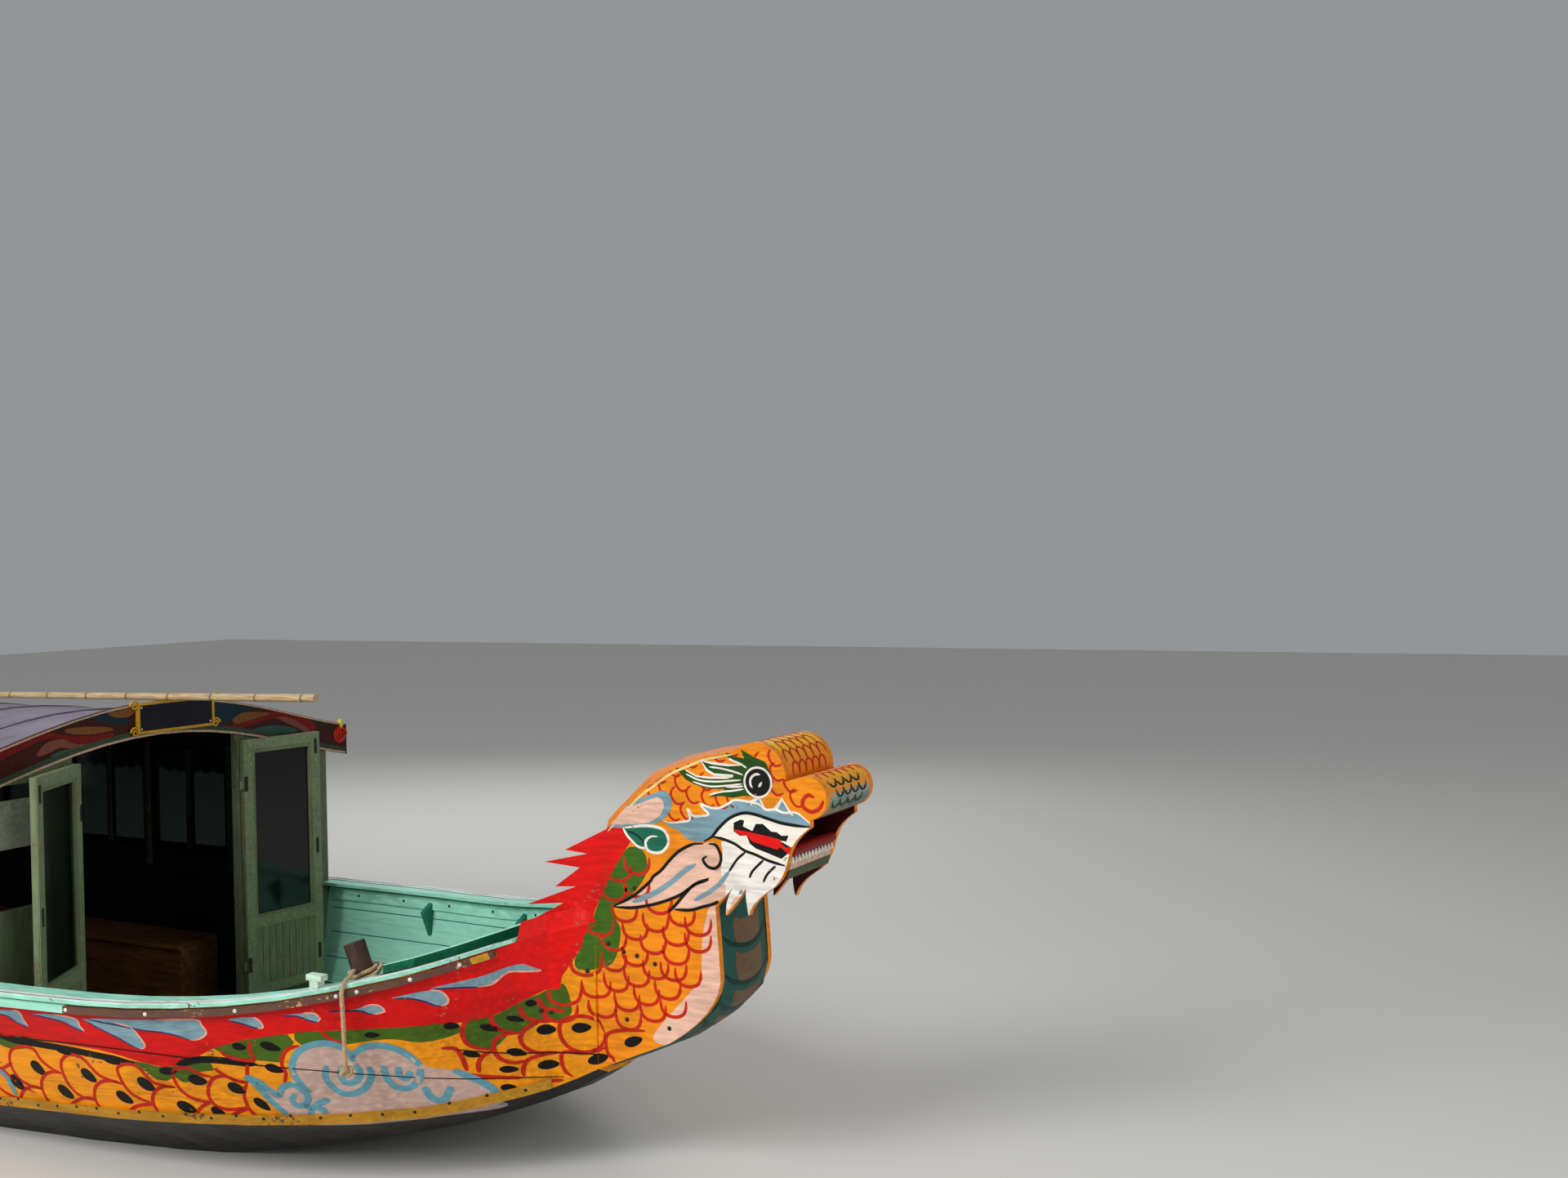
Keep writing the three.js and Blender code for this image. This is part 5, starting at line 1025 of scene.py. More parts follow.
# The inside of the port planking, met from the boat's middle line
port_planking = Skin(["hull_shell"], 1, 0.0)
rail_skin = Skin(["rub_rail_starboard"], 1)
band_skin = Skin(["chine_band_starboard"], 1)
cabin_wall = Skin(["cabin_side_starboard"], 1)
house_wall = Skin(["house_side_starboard"], 1)
tail_skin = Skin(["tail_side_starboard"], 1)
belly_skin = Skin(["belly"], 0)
fascia_skin = Skin(["front_fascia"], 0)
jaw_skin = Skin(["lower_jaw"], 0)
roof_skin = Skin(["cabin_roof"], 2)
house_roof_skin = Skin(["house_roof"], 2)


def rail_foot(x):
    """Height of the rub rail's lower edge."""
    return rail(x)[2] - RAIL_HEIGHT


def rail_middle(x):
    """Height of the rub rail's middle."""
    return rail_foot(x) + RAIL_HEIGHT / 2


def band_middle(x):
    """Height of the chine band's middle."""
    return (chine(x) + chine_top(x)) / 2


def drop_form(x, z, long, wide, turn):
    """Outline of a drop with one blunt end, turned by degrees."""
    angle = math.radians(turn)
    loop = []
    for t in [math.tau * step / 14 for step in range(14)]:
        a, b = math.cos(t), math.sin(t)
        reach = long * a * (1.12 if a > 0 else 0.95)
        girth = wide * 0.72 * b * (1 - 0.28 * max(0, a))
        loop.append((x + reach * math.cos(angle) - girth * math.sin(angle),
                     z + reach * math.sin(angle) + girth * math.cos(angle)))
    return loop


def scale_arc(x, z, half, rise, turn, spacing=10):
    """A smooth U that hangs to x, z, half wide and rise high, turned by degrees."""
    angle = math.radians(turn)
    return smooth_line([(x + a * half * math.cos(angle) - (b * rise - rise / 2) * math.sin(angle),
                         z + rise / 2 + a * half * math.sin(angle) + (b * rise - rise / 2) * math.cos(angle))
                        for a, b in ARC_FORM], spacing)


def on_bollard(height, turn, reach):
    """A point round the bollard: height up its axis, turn in radians, reach from the axis, in metres."""
    axis = Vector(BOLLARD["axis"]).normalized()
    ahead = (Vector((1, 0, 0)) - axis * axis.x).normalized()
    across = axis.cross(ahead)
    foot = Vector(BOLLARD["foot"]) * MM
    return foot + axis * height + (ahead * math.cos(turn) + across * math.sin(turn)) * reach


def leaf_block(way, low, high):
    """A block on a door leaf: depth from its middle, distance from its hinge and height, in millimetres."""
    points, faces = block(low, high)
    turn = math.radians(DOOR_OPEN[way]) * way
    placed = []
    for depth, across, z in points:
        across = across * -way
        placed.append((2.327 + depth * math.cos(turn) - across * math.sin(turn),
                       0.57 * way + depth * math.sin(turn) + across * math.cos(turn), z))
    return placed, faces


def openings(name, sill):
    """Pairs of x between which a wall is open at its sill, in millimetres."""
    xs = sorted({round(v.co.x / MM, 1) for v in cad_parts[name].data.vertices if abs(v.co.z / MM - sill) < 1})
    return list(zip(xs[::2], xs[1::2]))


def casing_lines(first, last, sill, head, width):
    """Middle lines of the four boards round a window, each board width wide."""
    half = width / 2
    return [[(first - half, sill - width), (first - half, head + width)],
            [(last + half, sill - width), (last + half, head + width)],
            [(first - width, sill - half), (last + width, sill - half)],
            [(first - width, head + half), (last + width, head + half)]]


def rim(columns):
    """Faces that close the border between a sheet's two layers of columns, four points to a column."""
    last = len(columns) - 1
    total = len(columns) * 4
    border = [k * 4 for k in range(last + 1)] + [last * 4 + 1, last * 4 + 2]
    border += [k * 4 + 3 for k in range(last, -1, -1)] + [2, 1]
    return [(b, a, a + total, b + total) for a, b in zip(border, border[1:] + border[:1])]


# Operators: each makes one piece or one group of like pieces

class BoatStep(bpy.types.Operator):
    """Shared by the boat's operators."""
    bl_idname = "boat.step"
    bl_label = "Boat step"
    bl_options = {"REGISTER", "UNDO"}

    def execute(self, context):
        self.make(context.scene.boat_settings)
        return {"FINISHED"}

    def make(self, settings):
        """Makes the step's pieces."""
        raise NotImplementedError("a step without its own making")


class BoatSettings(bpy.types.PropertyGroup):
    """Sizes and colours that an owner would change."""
    hull_colour: bpy.props.StringProperty(
        name="Hull", description="Topside enamel, as sRGB hex", default=PAINTS["hull_orange"])
    strake_colour: bpy.props.StringProperty(
        name="Strake", description="Enamel of the strake, as sRGB hex", default=PAINTS["strake_red"])
    sheer_colour: bpy.props.StringProperty(
        name="Sheer", description="Enamel of the gunwale caps and the coaming, as sRGB hex", default="9FE3CB")
    scale_pitch: bpy.props.FloatProperty(
        name="Scale pitch", description="Distance between painted hull scales", default=0.34, unit="LENGTH")
    line_width: bpy.props.FloatProperty(
        name="Line width", description="Width of the scales' painted edges", default=0.017, unit="LENGTH")
    floor_half: bpy.props.FloatProperty(
        name="Floor", description="Half size of the studio floor", default=40.0, unit="LENGTH")


class PaintNodes(BoatStep):
    """Gives every solid of the boat its finish."""
    bl_idname = "boat.paint_nodes"
    bl_label = "Finishes"

    def make(self, settings):
        mint = settings.sheer_colour
        finishes = [(nodes, boat_enamel(name + "_enamel", *look)) for name, nodes, *look in ENAMELS] + [
            ("hull_shell", hull_enamel(settings.hull_colour, "0E0C0B", mint)),
            ("gunwale_cap_*", boat_enamel("sheer_enamel", mint, "6E6A5A", 0.5)),
            # The coaming: green sides and a pale top edge that is painted light.
            ("bow_coaming", lit_top_enamel("coaming_enamel", "1F7A58", mint)),
            ("rub_rail_*", rail_enamel("5E3A2A", mint, 3.2)),
            # Near black inboard faces of the head boards and the cabin walls are painted shade.
            ("head_side_*", inboard_shaded_enamel("head_board_enamel", "F08C0C", "3A0A08")),
            ("cabin_side_*", inboard_shaded_enamel("cabin_wall_enamel", "E4E0D2", "2E261E", "8C8474", 0.5)),
            # The brow roll: dark red low down as painted shade, then orange, and yellow on top as painted highlight.
            ("brow_roll", shaded_roll_enamel("brow_roll_enamel", BROW_ROLL, [
                (0.0, "5A1408"), (0.22, "B8480E"), (0.55, "E8820F"), (0.8, "F09A14"), (0.93, "F2BE14")])),
            # The nose roll: grey-blue paint on its underside, darkened low down as painted shade, and orange above,
            # lightest at the top as painted highlight.
            ("nose_roll", shaded_roll_enamel("nose_roll_enamel", NOSE_ROLL, [
                (0.0, "2E3A38"), (0.3, "5C7472"), (0.5, "7E9896"), (0.66, "E08A14"), (0.9, "F0A41C")])),
            ("cabin_sole", oiled_wood("sole_planks", "8A6A4A", "54402E")),
            ("bench_*", oiled_wood("bench_planks", "A8703E", "6E4424")),
            ("bollard", oiled_wood("bollard_timber", "5A3A28", "2C1A10", (1, 1, 0.07), 60.0, 0.75)),
            ("cabin_glass_* door_glass_* house_glass_*", window_glass()),
            ("cabin_roof", roof_felt("roof_sheet", "8A8090", "6A6068", 0.61)),
            ("house_roof", roof_felt("house_roof_sheet", "D2D2CA", "A49C90", 0.75)),
            ("bamboo_pole", bamboo_cane()),
            ("rudder", cast_metal("rudder_iron", "5A5450", "5E3A24", 0.5)),
            ("propeller", cast_metal("propeller_bronze", "B08A48", "4E5A42", 0.35)),
        ]
        for nodes, made in finishes:
            for name in nodes.split():
                for whole in {name.replace("*", way) for way in ("port", "starboard")}:
                    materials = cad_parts[whole].data.materials
                    materials.clear()
                    materials.append(made)


class PaintHull(BoatStep):
    """The hull's painted figures: strake, flames, scales and cloud, on both sides."""
    bl_idname = "boat.paint_hull"
    bl_label = "Hull figures"

    def make(self, settings):
        foot = [(x, sheer(x) - 186 + 14 * math.sin(x / 260)) for x in range(STERN_X, STRAKE_EDGE[0][0] - 60, 160)]
        top = [(x, rail_foot(x) - 0.5) for x in range(STERN_X, 5090, 90)]
        top += [(x, gunwale(x) - 1) for x in (5105, 5149, 5250, 5350, 5448)]
        strake = Shape().area(side, smooth_line(foot + STRAKE_EDGE, 60) + top[::-1], COAT)
        piece("strake_paint", strake, paint("strake_red", settings.strake_colour))
        self.scales(settings.line_width / MM, settings.scale_pitch / MM)
        self.flames()

        cloud = Shape().area(side, smooth_line(CLOUD, 25, True), 4 * COAT)
        piece("cloud_figure", cloud, "cloud_rose")
        curls, laps_and_shadow = Shape(), Shape()
        for row in CLOUD_LINES:
            curls.line(side, smooth_line(row), 30, 5 * COAT, 0.7)
        piece("cloud_curls", curls, "cloud_blue")
        # Painted shadow: dark strokes under the red strake. Then the real dark laps of the planking.
        for row in STRAKE_SHADOWS:
            laps_and_shadow.line(side, smooth_line(row), 34, 2 * COAT, 0.1)
        for row in LAPS:
            laps_and_shadow.line(side, smooth_line(row, 40), 5, 5.5 * COAT, 0.6)
        piece("plank_laps_and_strake_shadow", laps_and_shadow, "drop_black")

    def scales(self, width, pitch):
        """Washes, scale edges and drops: from the tables at the bow, repeated by pitch aft of it."""
        wash, edges, drops = Shape(), Shape(), Shape()
        for row in GREEN_WASHES:
            wash.area(side, smooth_line(row, 30, True), COAT)
        for x in range(-6100, 2600, 620):
            z = sheer(x) - 190
            wash.area(planking, smooth_line([(x + a, z + b) for a, b in WASH_FORM], 40, True), COAT)
        piece("scale_washes", wash, "wash_green")

        for row in SCALE_EDGES:
            edges.line(side, smooth_line(row), width, 3 * COAT)
        for mark in SCALE_DROPS:
            drops.area(side, drop_form(*mark), 3 * COAT)
        x = 2714 - pitch
        while x > -6250:
            bottom = chine(x) + 52
            for row in range(5):
                left = x + (row % 2) * pitch * 0.46 + 12 * math.sin(x + row)
                z = sheer(x + 150) - 262 - row * 142
                line = [(left + a, z + b) for a, b in SCALE_FORM if z + b > bottom]
                if z >= bottom - 60 and len(line) > 2:
                    edges.line(planking, smooth_line(line), width, 3 * COAT)
                if z - 65 > bottom:
                    drops.area(planking, drop_form(left + 178, z - 62, 46, 42, -34), 3 * COAT)
            x -= pitch
        piece("scale_edges", edges, "scale_red")
        piece("scale_drops", drops, "drop_black")

    def flames(self):
        """Flames under the rail: from the table at the bow, every 430 mm aft of it in three sizes."""
        flames, shadows, lips = Shape(), Shape(), Shape()
        figures = list(FLAMES)
        for number, x in enumerate(range(2330, -6000, -430)):
            z = sheer(x) - 60
            size = (1.0, 1.35, 0.8)[number % 3]
            rise = (sheer(x + 100) - sheer(x - 100)) / 200
            figures.append([(x + a * size, z + b * size + a * size * rise) for a, b in FLAME_FORM])
        for row in figures:
            loop = smooth_line(row, 14, True)
            tip = min(range(len(loop)), key=lambda k: loop[k][1])
            flames.area(side, loop, 3 * COAT)
            shadows.line(side, loop[tip:], 7, 4 * COAT)
            lips.line(side, loop[max(0, tip - round(len(loop) * 0.3)):tip + 1], 8, 4 * COAT)
        piece("flame_figures", flames, "frame_blue")
        piece("flame_shadows", shadows, "flame_edge")
        piece("flame_lips", lips, "flame_lip")


class PaintHead(BoatStep):
    """The dragon's painted face, mane and neck, on both side boards."""
    bl_idname = "boat.paint_head"
    bl_label = "Head figures"

    def make(self, settings):
        gathered = {}
        for colour, coat, rounded, outline in HEAD_FILLS:
            loop = smooth_line(outline, 12, True) if rounded else outline
            skin = side if min(x for x, z in outline) < 5450 else board
            gathered.setdefault(colour, Shape()).area(skin, loop, (coat + 1) * COAT)
        for colour, coat, wide, line in HEAD_LINES:
            line = line if line[0] == line[-1] else smooth_line(line, 10)
            gathered.setdefault(colour, Shape()).line(board, line, wide, (coat + 1.5) * COAT)

        red, white = gathered.setdefault("line_red", Shape()), gathered["tooth_white"]
        for x, z in NECK_SCALES:
            red.line(side, scale_arc(x, z, 68, 80, 0), 16, 2.5 * COAT)
        for x, z in FACE_SCALES:
            red.line(board, scale_arc(x - 22, z - 16, 40, 44, -58, 8), 11, 2 * COAT)

        eye_x, eye_z = EYE
        for colour, radius, coat in (("tooth_white", 72, 5), ("line_black", 62, 6)):
            loop = [(eye_x + radius * math.cos(t), eye_z + radius * math.sin(t) * 0.98)
                    for t in [math.tau * k / 40 for k in range(40)]]
            gathered[colour].area(board, loop, coat * COAT)
        crescent = [(eye_x + 38 * math.cos(t), eye_z + 36 * math.sin(t))
                    for t in [math.radians(a) for a in range(70, 236, 12)]]
        white.line(board, crescent, 11, 7.5 * COAT, 0.2)
        spark = [(eye_x + 8, eye_z - 4), (eye_x + 22, eye_z + 2), (eye_x + 14, eye_z - 18), (eye_x + 2, eye_z - 20)]
        white.area(board, smooth_line(spark, 6, True), 7 * COAT)
        for colour, shape in gathered.items():
            piece("head_" + colour, shape, colour)
        nails = Shape()
        for x, z in NECK_NAILS:
            nails.take(*dome(*side.at(x, z), 0.011, 0.007), True)
        piece("neck_nails", nails, "bolt_dark", smooth=True)


class PaintRolls(BoatStep):
    """Red scales on the brow roll and the nose roll, and dark scales low on the nose roll."""
    bl_idname = "boat.paint_rolls"
    bl_label = "Roll figures"

    def make(self, settings):
        scales, dark = Shape(), Shape()
        half = HEAD_HALF_WIDTH - 40
        for roll, top, foot, rise in ((BROW_ROLL, -150, 250, 64), (NOSE_ROLL, -90, 60, 50)):
            for row in range(round((foot - top) / rise)):
                for u in [-half + 36 + 66 * k + (row % 2) * 33 for k in range(8)]:
                    if u < half - 30:
                        arc = [(u + a, top + rise * row + b * rise) for a, b in ROLL_SCALE]
                        scales.line(RollSkin(roll), smooth_line(arc, 8), 10, 3 * COAT, mirrored=False)
        for row in range(3):
            for u in [-half + 60 + 78 * k + (row % 2) * 39 for k in range(5)]:
                if u + 34 < half:
                    for size in (1.0, 0.55):
                        arc = [(u + a * 1.15 * size, 105 + row * 48 - b * 40 * size) for a, b in ROLL_SCALE]
                        dark.line(RollSkin(NOSE_ROLL), smooth_line(arc, 8), 9, 3 * COAT, mirrored=False)
        piece("nose_shading", dark, "belly_dark")
        piece("roll_scales", scales, "line_red")


class PaintBelly(BoatStep):
    """Tan panels and dark swags down the front of the neck."""
    bl_idname = "boat.paint_belly"
    bl_label = "Belly panels"

    def make(self, settings):
        tan, dark = Shape(), Shape()
        half = 116
        bands = [1290, 1131, 958, 832, 742, 664]
        for top, bottom in zip(bands, bands[1:]):
            loop = [(-half, top - 26), (-half * 0.9, bottom + 24), (0, bottom + 4), (half * 0.9, bottom + 24),
                    (half, top - 26), (half * 0.5, top - 40), (-half * 0.5, top - 40)]
            tan.area(belly_skin, smooth_line(loop, 14, True), 2 * COAT, False)
            line = [(y, bottom + z) for y, z in ((-196, 62), (-150, 26), (-80, 2), (0, -8), (80, 2), (150, 26),
                                                 (196, 62))]
            dark.line(belly_skin, smooth_line(line, 12), 22, 3 * COAT, mirrored=False)
        piece("belly_panels", tan, "belly_tan")
        piece("belly_swags", dark, "belly_dark")


class PaintFascia(BoatStep):
    """Waves painted along the cabin's front fascia."""
    bl_idname = "boat.paint_fascia"
    bl_label = "Fascia waves"

    def make(self, settings):
        gathered = {}
        for colour, coat, outline in FASCIA_WAVES:
            loop = smooth_line(outline, 14, True)
            gathered.setdefault(colour, Shape()).area(fascia_skin, loop, (coat + 1) * COAT, False)
        for colour, shape in gathered.items():
            piece("fascia_" + colour, shape, colour)


class DressSheer(BoatStep):
    """Laths on the gunwale caps, bolt heads and worn ends on the rub rails, rivets on the chine bands."""
    bl_idname = "boat.dress_sheer"
    bl_label = "Sheer trim"

    def make(self, settings):
        laths, grooves, coaming_shadow, lip, worn, bolts, rivets, grey = (Shape() for _ in range(8))
        # The last strip is painted shadow: the inner half of each cap, from the bollard to the bow, made dark where
        # the coaming shades it.
        for shape, first, last, proud, start, stop in (
                (laths, 0.0, 0.1, 3, *CAP_SPAN), (laths, 0.2, 0.36, 3, *CAP_SPAN),
                (grooves, 0.1, 0.2, 0.6, *CAP_SPAN), (grooves, 0.36, 0.42, 0.6, *CAP_SPAN),
                (grooves, 0.96, 1.02, 1.5, -3200, 2240), (coaming_shadow, 0.46, 1.0, 1, 4650, 5120)):
            shape.take(*cap.strip(first, last, proud, start, stop), True)
        piece("cap_laths", laths, "lath_white")
        piece("cap_grooves", grooves, "groove_green")
        # Painted shadow on the caps beside the coaming
        piece("coaming_shadow_strip", coaming_shadow, "bolt_dark")
        rings = []
        for x in [-3190 + 5430 * k / 60 for k in range(61)]:
            _, inner, top = cap(x)
            rings.append(section(x, ((inner - 6, top - 19), (inner + 4, top - 19), (inner + 4, top + 1),
                                     (inner - 6, top + 1))))
        piece("cabin_carlings", lip.take(*loft(rings), True), "bolt_dark")

        worn.line(rail_skin, [(x, rail_middle(x)) for x in range(5034, 5098, 9)], 32, 2 * COAT, 0.8)
        piece("rail_ends", worn, "worn_yellow")
        for x in RAIL_BOLTS + [4120 - 450 * k for k in range(22)]:
            bolts.take(*dome(*rail_skin.at(x, rail_middle(x)), 0.01, 0.006), True)
        piece("rail_bolts", bolts, "bolt_white", smooth=True)

        for x in range(-6150, 5180, 130):
            found = band_skin.at(x, band_middle(x))
            if found:
                rivets.take(*dome(*found, 0.008, 0.004, 8), True)
        piece("band_rivets", rivets, "bolt_dark", smooth=True)
        line = [(x, band_middle(x)) for x in range(4000, 5060, 40)]
        grey.line(band_skin, line, 0.7 * (chine_top(4500) - chine(4500)), COAT, 0.3)
        piece("band_patches", grey, "band_grey")


class CloseMane(BoatStep):
    """Red boards that close the mane between the gunwale and the dragon's side boards."""
    bl_idname = "boat.close_mane"
    bl_label = "Mane boards"

    def make(self, settings):
        rings = []
        for x in [5156 + 27 * k for k in range(12)]:
            z = gunwale(x)
            low = side.at(x, z - 12)[0].y / MM - 1
            high = min(-236, low + 40)
            rings.append(section(x, ((low, z - 16), (low + 12, z - 16), (high + 12, z + 84), (high, z + 84))))
        piece("mane_boards", Shape().take(*loft(rings), True), "mane_red")


class DressWell(BoatStep):
    """Plank seams, knees and the inwale inside the open bow."""
    bl_idname = "boat.dress_well"
    bl_label = "Bow well"

    def make(self, settings):
        seams, wood, knees, bolts = (Shape() for _ in range(4))
        for drop in (150, 300, 450, 600):
            seams.line(port_planking, [(x, sheer(x) - drop) for x in range(2330, 4600, 70)], 6, 0.6, 1.0)
        piece("inner_seams", seams, "seam_green")
        wood.line(port_planking, [(x, sheer(x) - 62) for x in range(2330, 4560, 70)], 70, 16, 1.0)
        for x in (3180, 4020):
            foot, _ = port_planking.at(x, sheer(x) - 260)
            head, _ = port_planking.at(x, sheer(x) - 96)
            corners = (foot + Vector((0, 0.004, 0)), head + Vector((0, -0.09, 0)), head + Vector((0, 0.004, 0.05)))
            knees.take(*loft([[(x * MM + off, p.y, p.z) for p in corners] for off in (-0.015, 0.015)]), True)
        piece("inwales", wood, "sheer_mint")
        piece("knees", knees, "seam_green")
        for x in range(2560, 4500, 390):
            point, normal = port_planking.at(x, sheer(x) - 62)
            bolts.take(*dome(point + normal * 0.016, normal, 0.009, 0.005, 8), True)
        piece("inwale_bolts", bolts, "bolt_dark", smooth=True)


class BelayRope(BoatStep):
    """Three turns of manila on the bollard, and the rope's tail over the gunwale with a stopper knot."""
    bl_idname = "boat.belay_rope"
    bl_label = "Bollard rope"

    def make(self, settings):
        rope = laid_rope()
        reach = BOLLARD["radius"] * MM + ROPE_RADIUS + 0.001
        turns = [on_bollard(0.13 + 0.025 * k / 24, -math.pi / 2 + math.tau * k / 24, reach)
                 for k in range(24 * 3 + 1)]
        # A riding turn that crosses the others.
        riding = [on_bollard(0.142 + 0.05 * math.sin(t / 2) ** 2, -math.pi / 2 + t, reach + 0.0225)
                  for t in [math.tau * k / 30 for k in range(31)]]
        wound = Shape().take(*tube(turns, ROPE_RADIUS, 12, strands=3)).take(*tube(riding, ROPE_RADIUS, 12, strands=3))
        piece("bollard_turns", wound, rope, smooth=True)

        outer, _, top = cap(4590)
        face = rail(4590)[0] - 13
        over = [tuple(turns[-1]), (4.522, -0.852, 1.027), (4.54, -0.882, 1.027)]
        over += [(x, y * MM, z * MM) for x, y, z in (
            (4.562, -918, top + 17), (4.578, outer + 16, top + 14), (4.588, outer - 12, top - 2),
            (4.592, face - 3, top - 34), (4.594, face - 2, top - 90), (4.596, face, top - 180),
            (4.6, face, top - 280), (4.604, face, top - 370))]
        path = [Vector(p) for p in smooth_line(over, 0.012)]
        tail = piece("mooring_tail", Shape().take(*tube(path, ROPE_RADIUS, 12, strands=3)), rope, smooth=True)
        end = path[-1] + Vector((0, 0, -0.014))
        loop = [end + Vector((0.0088 * (math.sin(t) + 2 * math.sin(2 * t)),
                              0.0088 * (math.cos(t) - 2 * math.cos(2 * t)), -0.012 * math.sin(3 * t)))
                for t in [math.tau * k / 60 for k in range(60)]]
        knot = piece("tail_knot", Shape().take(*tube(loop, ROPE_RADIUS * 0.9, 10, closed=True)), rope, smooth=True)


class TrimFascia(BoatStep):
    """Carved edge, scroll ends with finials and the frame round the blank plate on the cabin's fascia."""
    bl_idname = "boat.trim_fascia"
    bl_label = "Fascia trim"

    def make(self, settings):
        moss, tan, scrolls, finials, bars, screws = (Shape() for _ in range(6))
        for shape, edge, rise, width, coat in ((moss, fascia_foot, 27, 30, 2.5), (tan, fascia_foot, 8, 12, 5),
                                               (tan, fascia_head, -7, 9, 3)):
            line = [(y, edge(y) + rise) for y in range(-1480, 1481, 40)]
            shape.line(fascia_skin, line, width, coat, 1.0, False)
        piece("fascia_moulding", moss, "trim_moss")
        piece("fascia_beads", tan, "trim_tan")

        for way in (-1, 1):
            centre = (2.3, way * 1.437, 1.792)
            scrolls.take(*dome(centre, (1, 0, 0), 0.054, 0.012, 20))
            scrolls.take(*tube(spiral(centre, 0.046, 1.75, way, 0.014), 0.008, 8))
            finials.take(*dome((2.29, way * 1.452, 1.842), (0, 0, 1), 0.017, 0.05))
        piece("fascia_scrolls", scrolls, "line_red", smooth=True)
        piece("fascia_finials", finials, "finial_yellow", smooth=True)

        for low, high in (((-164, 1961), (384, 1977)), ((-164, 2123), (384, 2139)), ((-164, 1977), (-149, 2123)),
                          ((369, 1977), (384, 2123))):
            bars.take(*block((2300, *low), (2321, *high)))
        for y, z, way, drop in ((-150, 1975, -1, 14), (370, 1975, 1, 14), (-150, 2125, -1, -14), (370, 2125, 1, -14)):
            bars.take(*tube(spiral((2.3, (y + way * 30) * MM, z * MM), 0.03, 1.5, way, 0.014), 0.006, 8))
            screws.take(*dome((2.3164, (y - way * 14) * MM, (z + drop) * MM), (1, 0, 0), 0.006, 0.003, 8))
        piece("plate_frame", bars, "worn_yellow")
        piece("plate_screws", screws, "bolt_white")


class DressDoors(BoatStep):
    """Stiles, rails, panel grooves and bolts on the cabin's two glazed door leaves."""
    bl_idname = "boat.dress_doors"
    bl_label = "Door leaves"

    def make(self, settings):
        for way, body in ((-1, "door_starboard"), (1, "door_port")):
            boards, grooves, irons = Shape(), Shape(), Shape()
            for left, foot, right, head in ((8, 291, 70, 1849), (502, 291, 564, 1849), (70, 1789, 502, 1849),
                                            (70, 700, 502, 764), (70, 291, 502, 352)):
                boards.take(*leaf_block(way, (-20, left, foot), (-14.8, right, head)))
            for across in [118 + 48 * k for k in range(8)]:
                for low, high in ((-15.5, -14.8), (14.8, 15.5)):
                    grooves.take(*leaf_block(way, (low, across - 1.5, 354), (high, across + 1.5, 698)))
            for z in (430, 1090, 1716):
                irons.take(*leaf_block(way, (-25, 524, z), (-19.8, 540, z + 92)))
            for z in (470, 1570):
                irons.take(*leaf_block(way, (-22, 9, z - 30), (-19.8, 34, z + 60)))
            piece(body + "_facing", boards, "door_facing", body)
            piece(body + "_grooves", grooves, "bolt_dark", body)
            piece(body + "_irons", irons, "bolt_dark", body)


class TrimWindows(BoatStep):
    """Casings and sliding sash bars round the windows, and the blank notice behind the front light."""
    bl_idname = "boat.trim_windows"
    bl_label = "Window trim"

    def make(self, settings):
        casing, sash, posts = Shape(), Shape(), Shape()
        for first, last in openings("cabin_side_starboard", 990):
            for line in casing_lines(first, last, 990, 1660, 24):
                casing.line(cabin_wall, line, 24, 8, 1.0)
            middle = (first + last) / 2
            for shape, (left, foot, outer), (right, head, inner) in (
                    (sash, (first, 990, -1318), (first + 26, 1660, -1300)),
                    (sash, (last - 26, 990, -1318), (last, 1660, -1300)),
                    (sash, (first + 26, 990, -1318), (last - 26, 1018, -1300)),
                    (sash, (first + 26, 1632, -1318), (last - 26, 1660, -1300)),
                    (sash, (middle - 22, 1018, -1316), (middle + 22, 1632, -1300)),
                    (posts, (middle - 17, 990, -1288), (middle + 17, 1660, -1272)),
                    (posts, (last + 30, 860, -1294), (last + 60, 1700, -1262))):
                shape.take(*block((left, outer, foot), (right, inner, head)), True)
        for first, last in openings("house_side_starboard", 1150):
            for line in casing_lines(first, last, 1150, 1800, 32):
                casing.line(house_wall, line, 32, 8, 1.0)
        piece("window_casings", casing, "cap_white")
        piece("window_sashes", sash, "notice_grey")
        piece("cabin_posts", posts, "post_grey")
        piece("blank_notice", Shape().take(*block((2262, -1251, 1446), (2265, -649, 1700))), "notice_grey")


class HangValances(BoatStep):
    """Scalloped cotton valances inside both eaves, each with a white edging."""
    bl_idname = "boat.hang_valances"
    bl_label = "Valances"

    def make(self, settings):
        cotton = valance_cloth()
        half_thick = 0.0004
        for way, side_name in ((-1, "starboard"), (1, "port")):
            columns = []
            # 42 scallops of 125 mm, ten columns to each
            for k in range(421):
                x = -3130 + 125 * k / 10
                foot = 1520 - 42 * math.sin(math.pi * (k % 10) / 10) ** 0.6
                fold = math.sin(math.tau * x / 250)
                columns.append([(x * MM, way * (1464 - 7 * fold * (1 - (z - 1480) / 210)) * MM, z * MM)
                                for z in (1692, 1640, 1580, foot)])
            points = [p for column in columns for p in column]
            faces = [(a, a + 1, a + 5, a + 4) for k in range(420) for a in range(4 * k, 4 * k + 3)]
            layers = [(x, y + off, z) for off in (-half_thick, half_thick) for x, y, z in points]
            cloth = Shape().take(layers, faces + [[k + len(points) for k in face[::-1]] for face in faces]
                                 + rim(columns))
            sheet = piece("valance_" + side_name, cloth, cotton, smooth=True)
            edging = Shape().take(*tube([column[3] for column in columns], 0.005, 6))
            lace = piece("valance_edging_" + side_name, edging, "tooth_white")


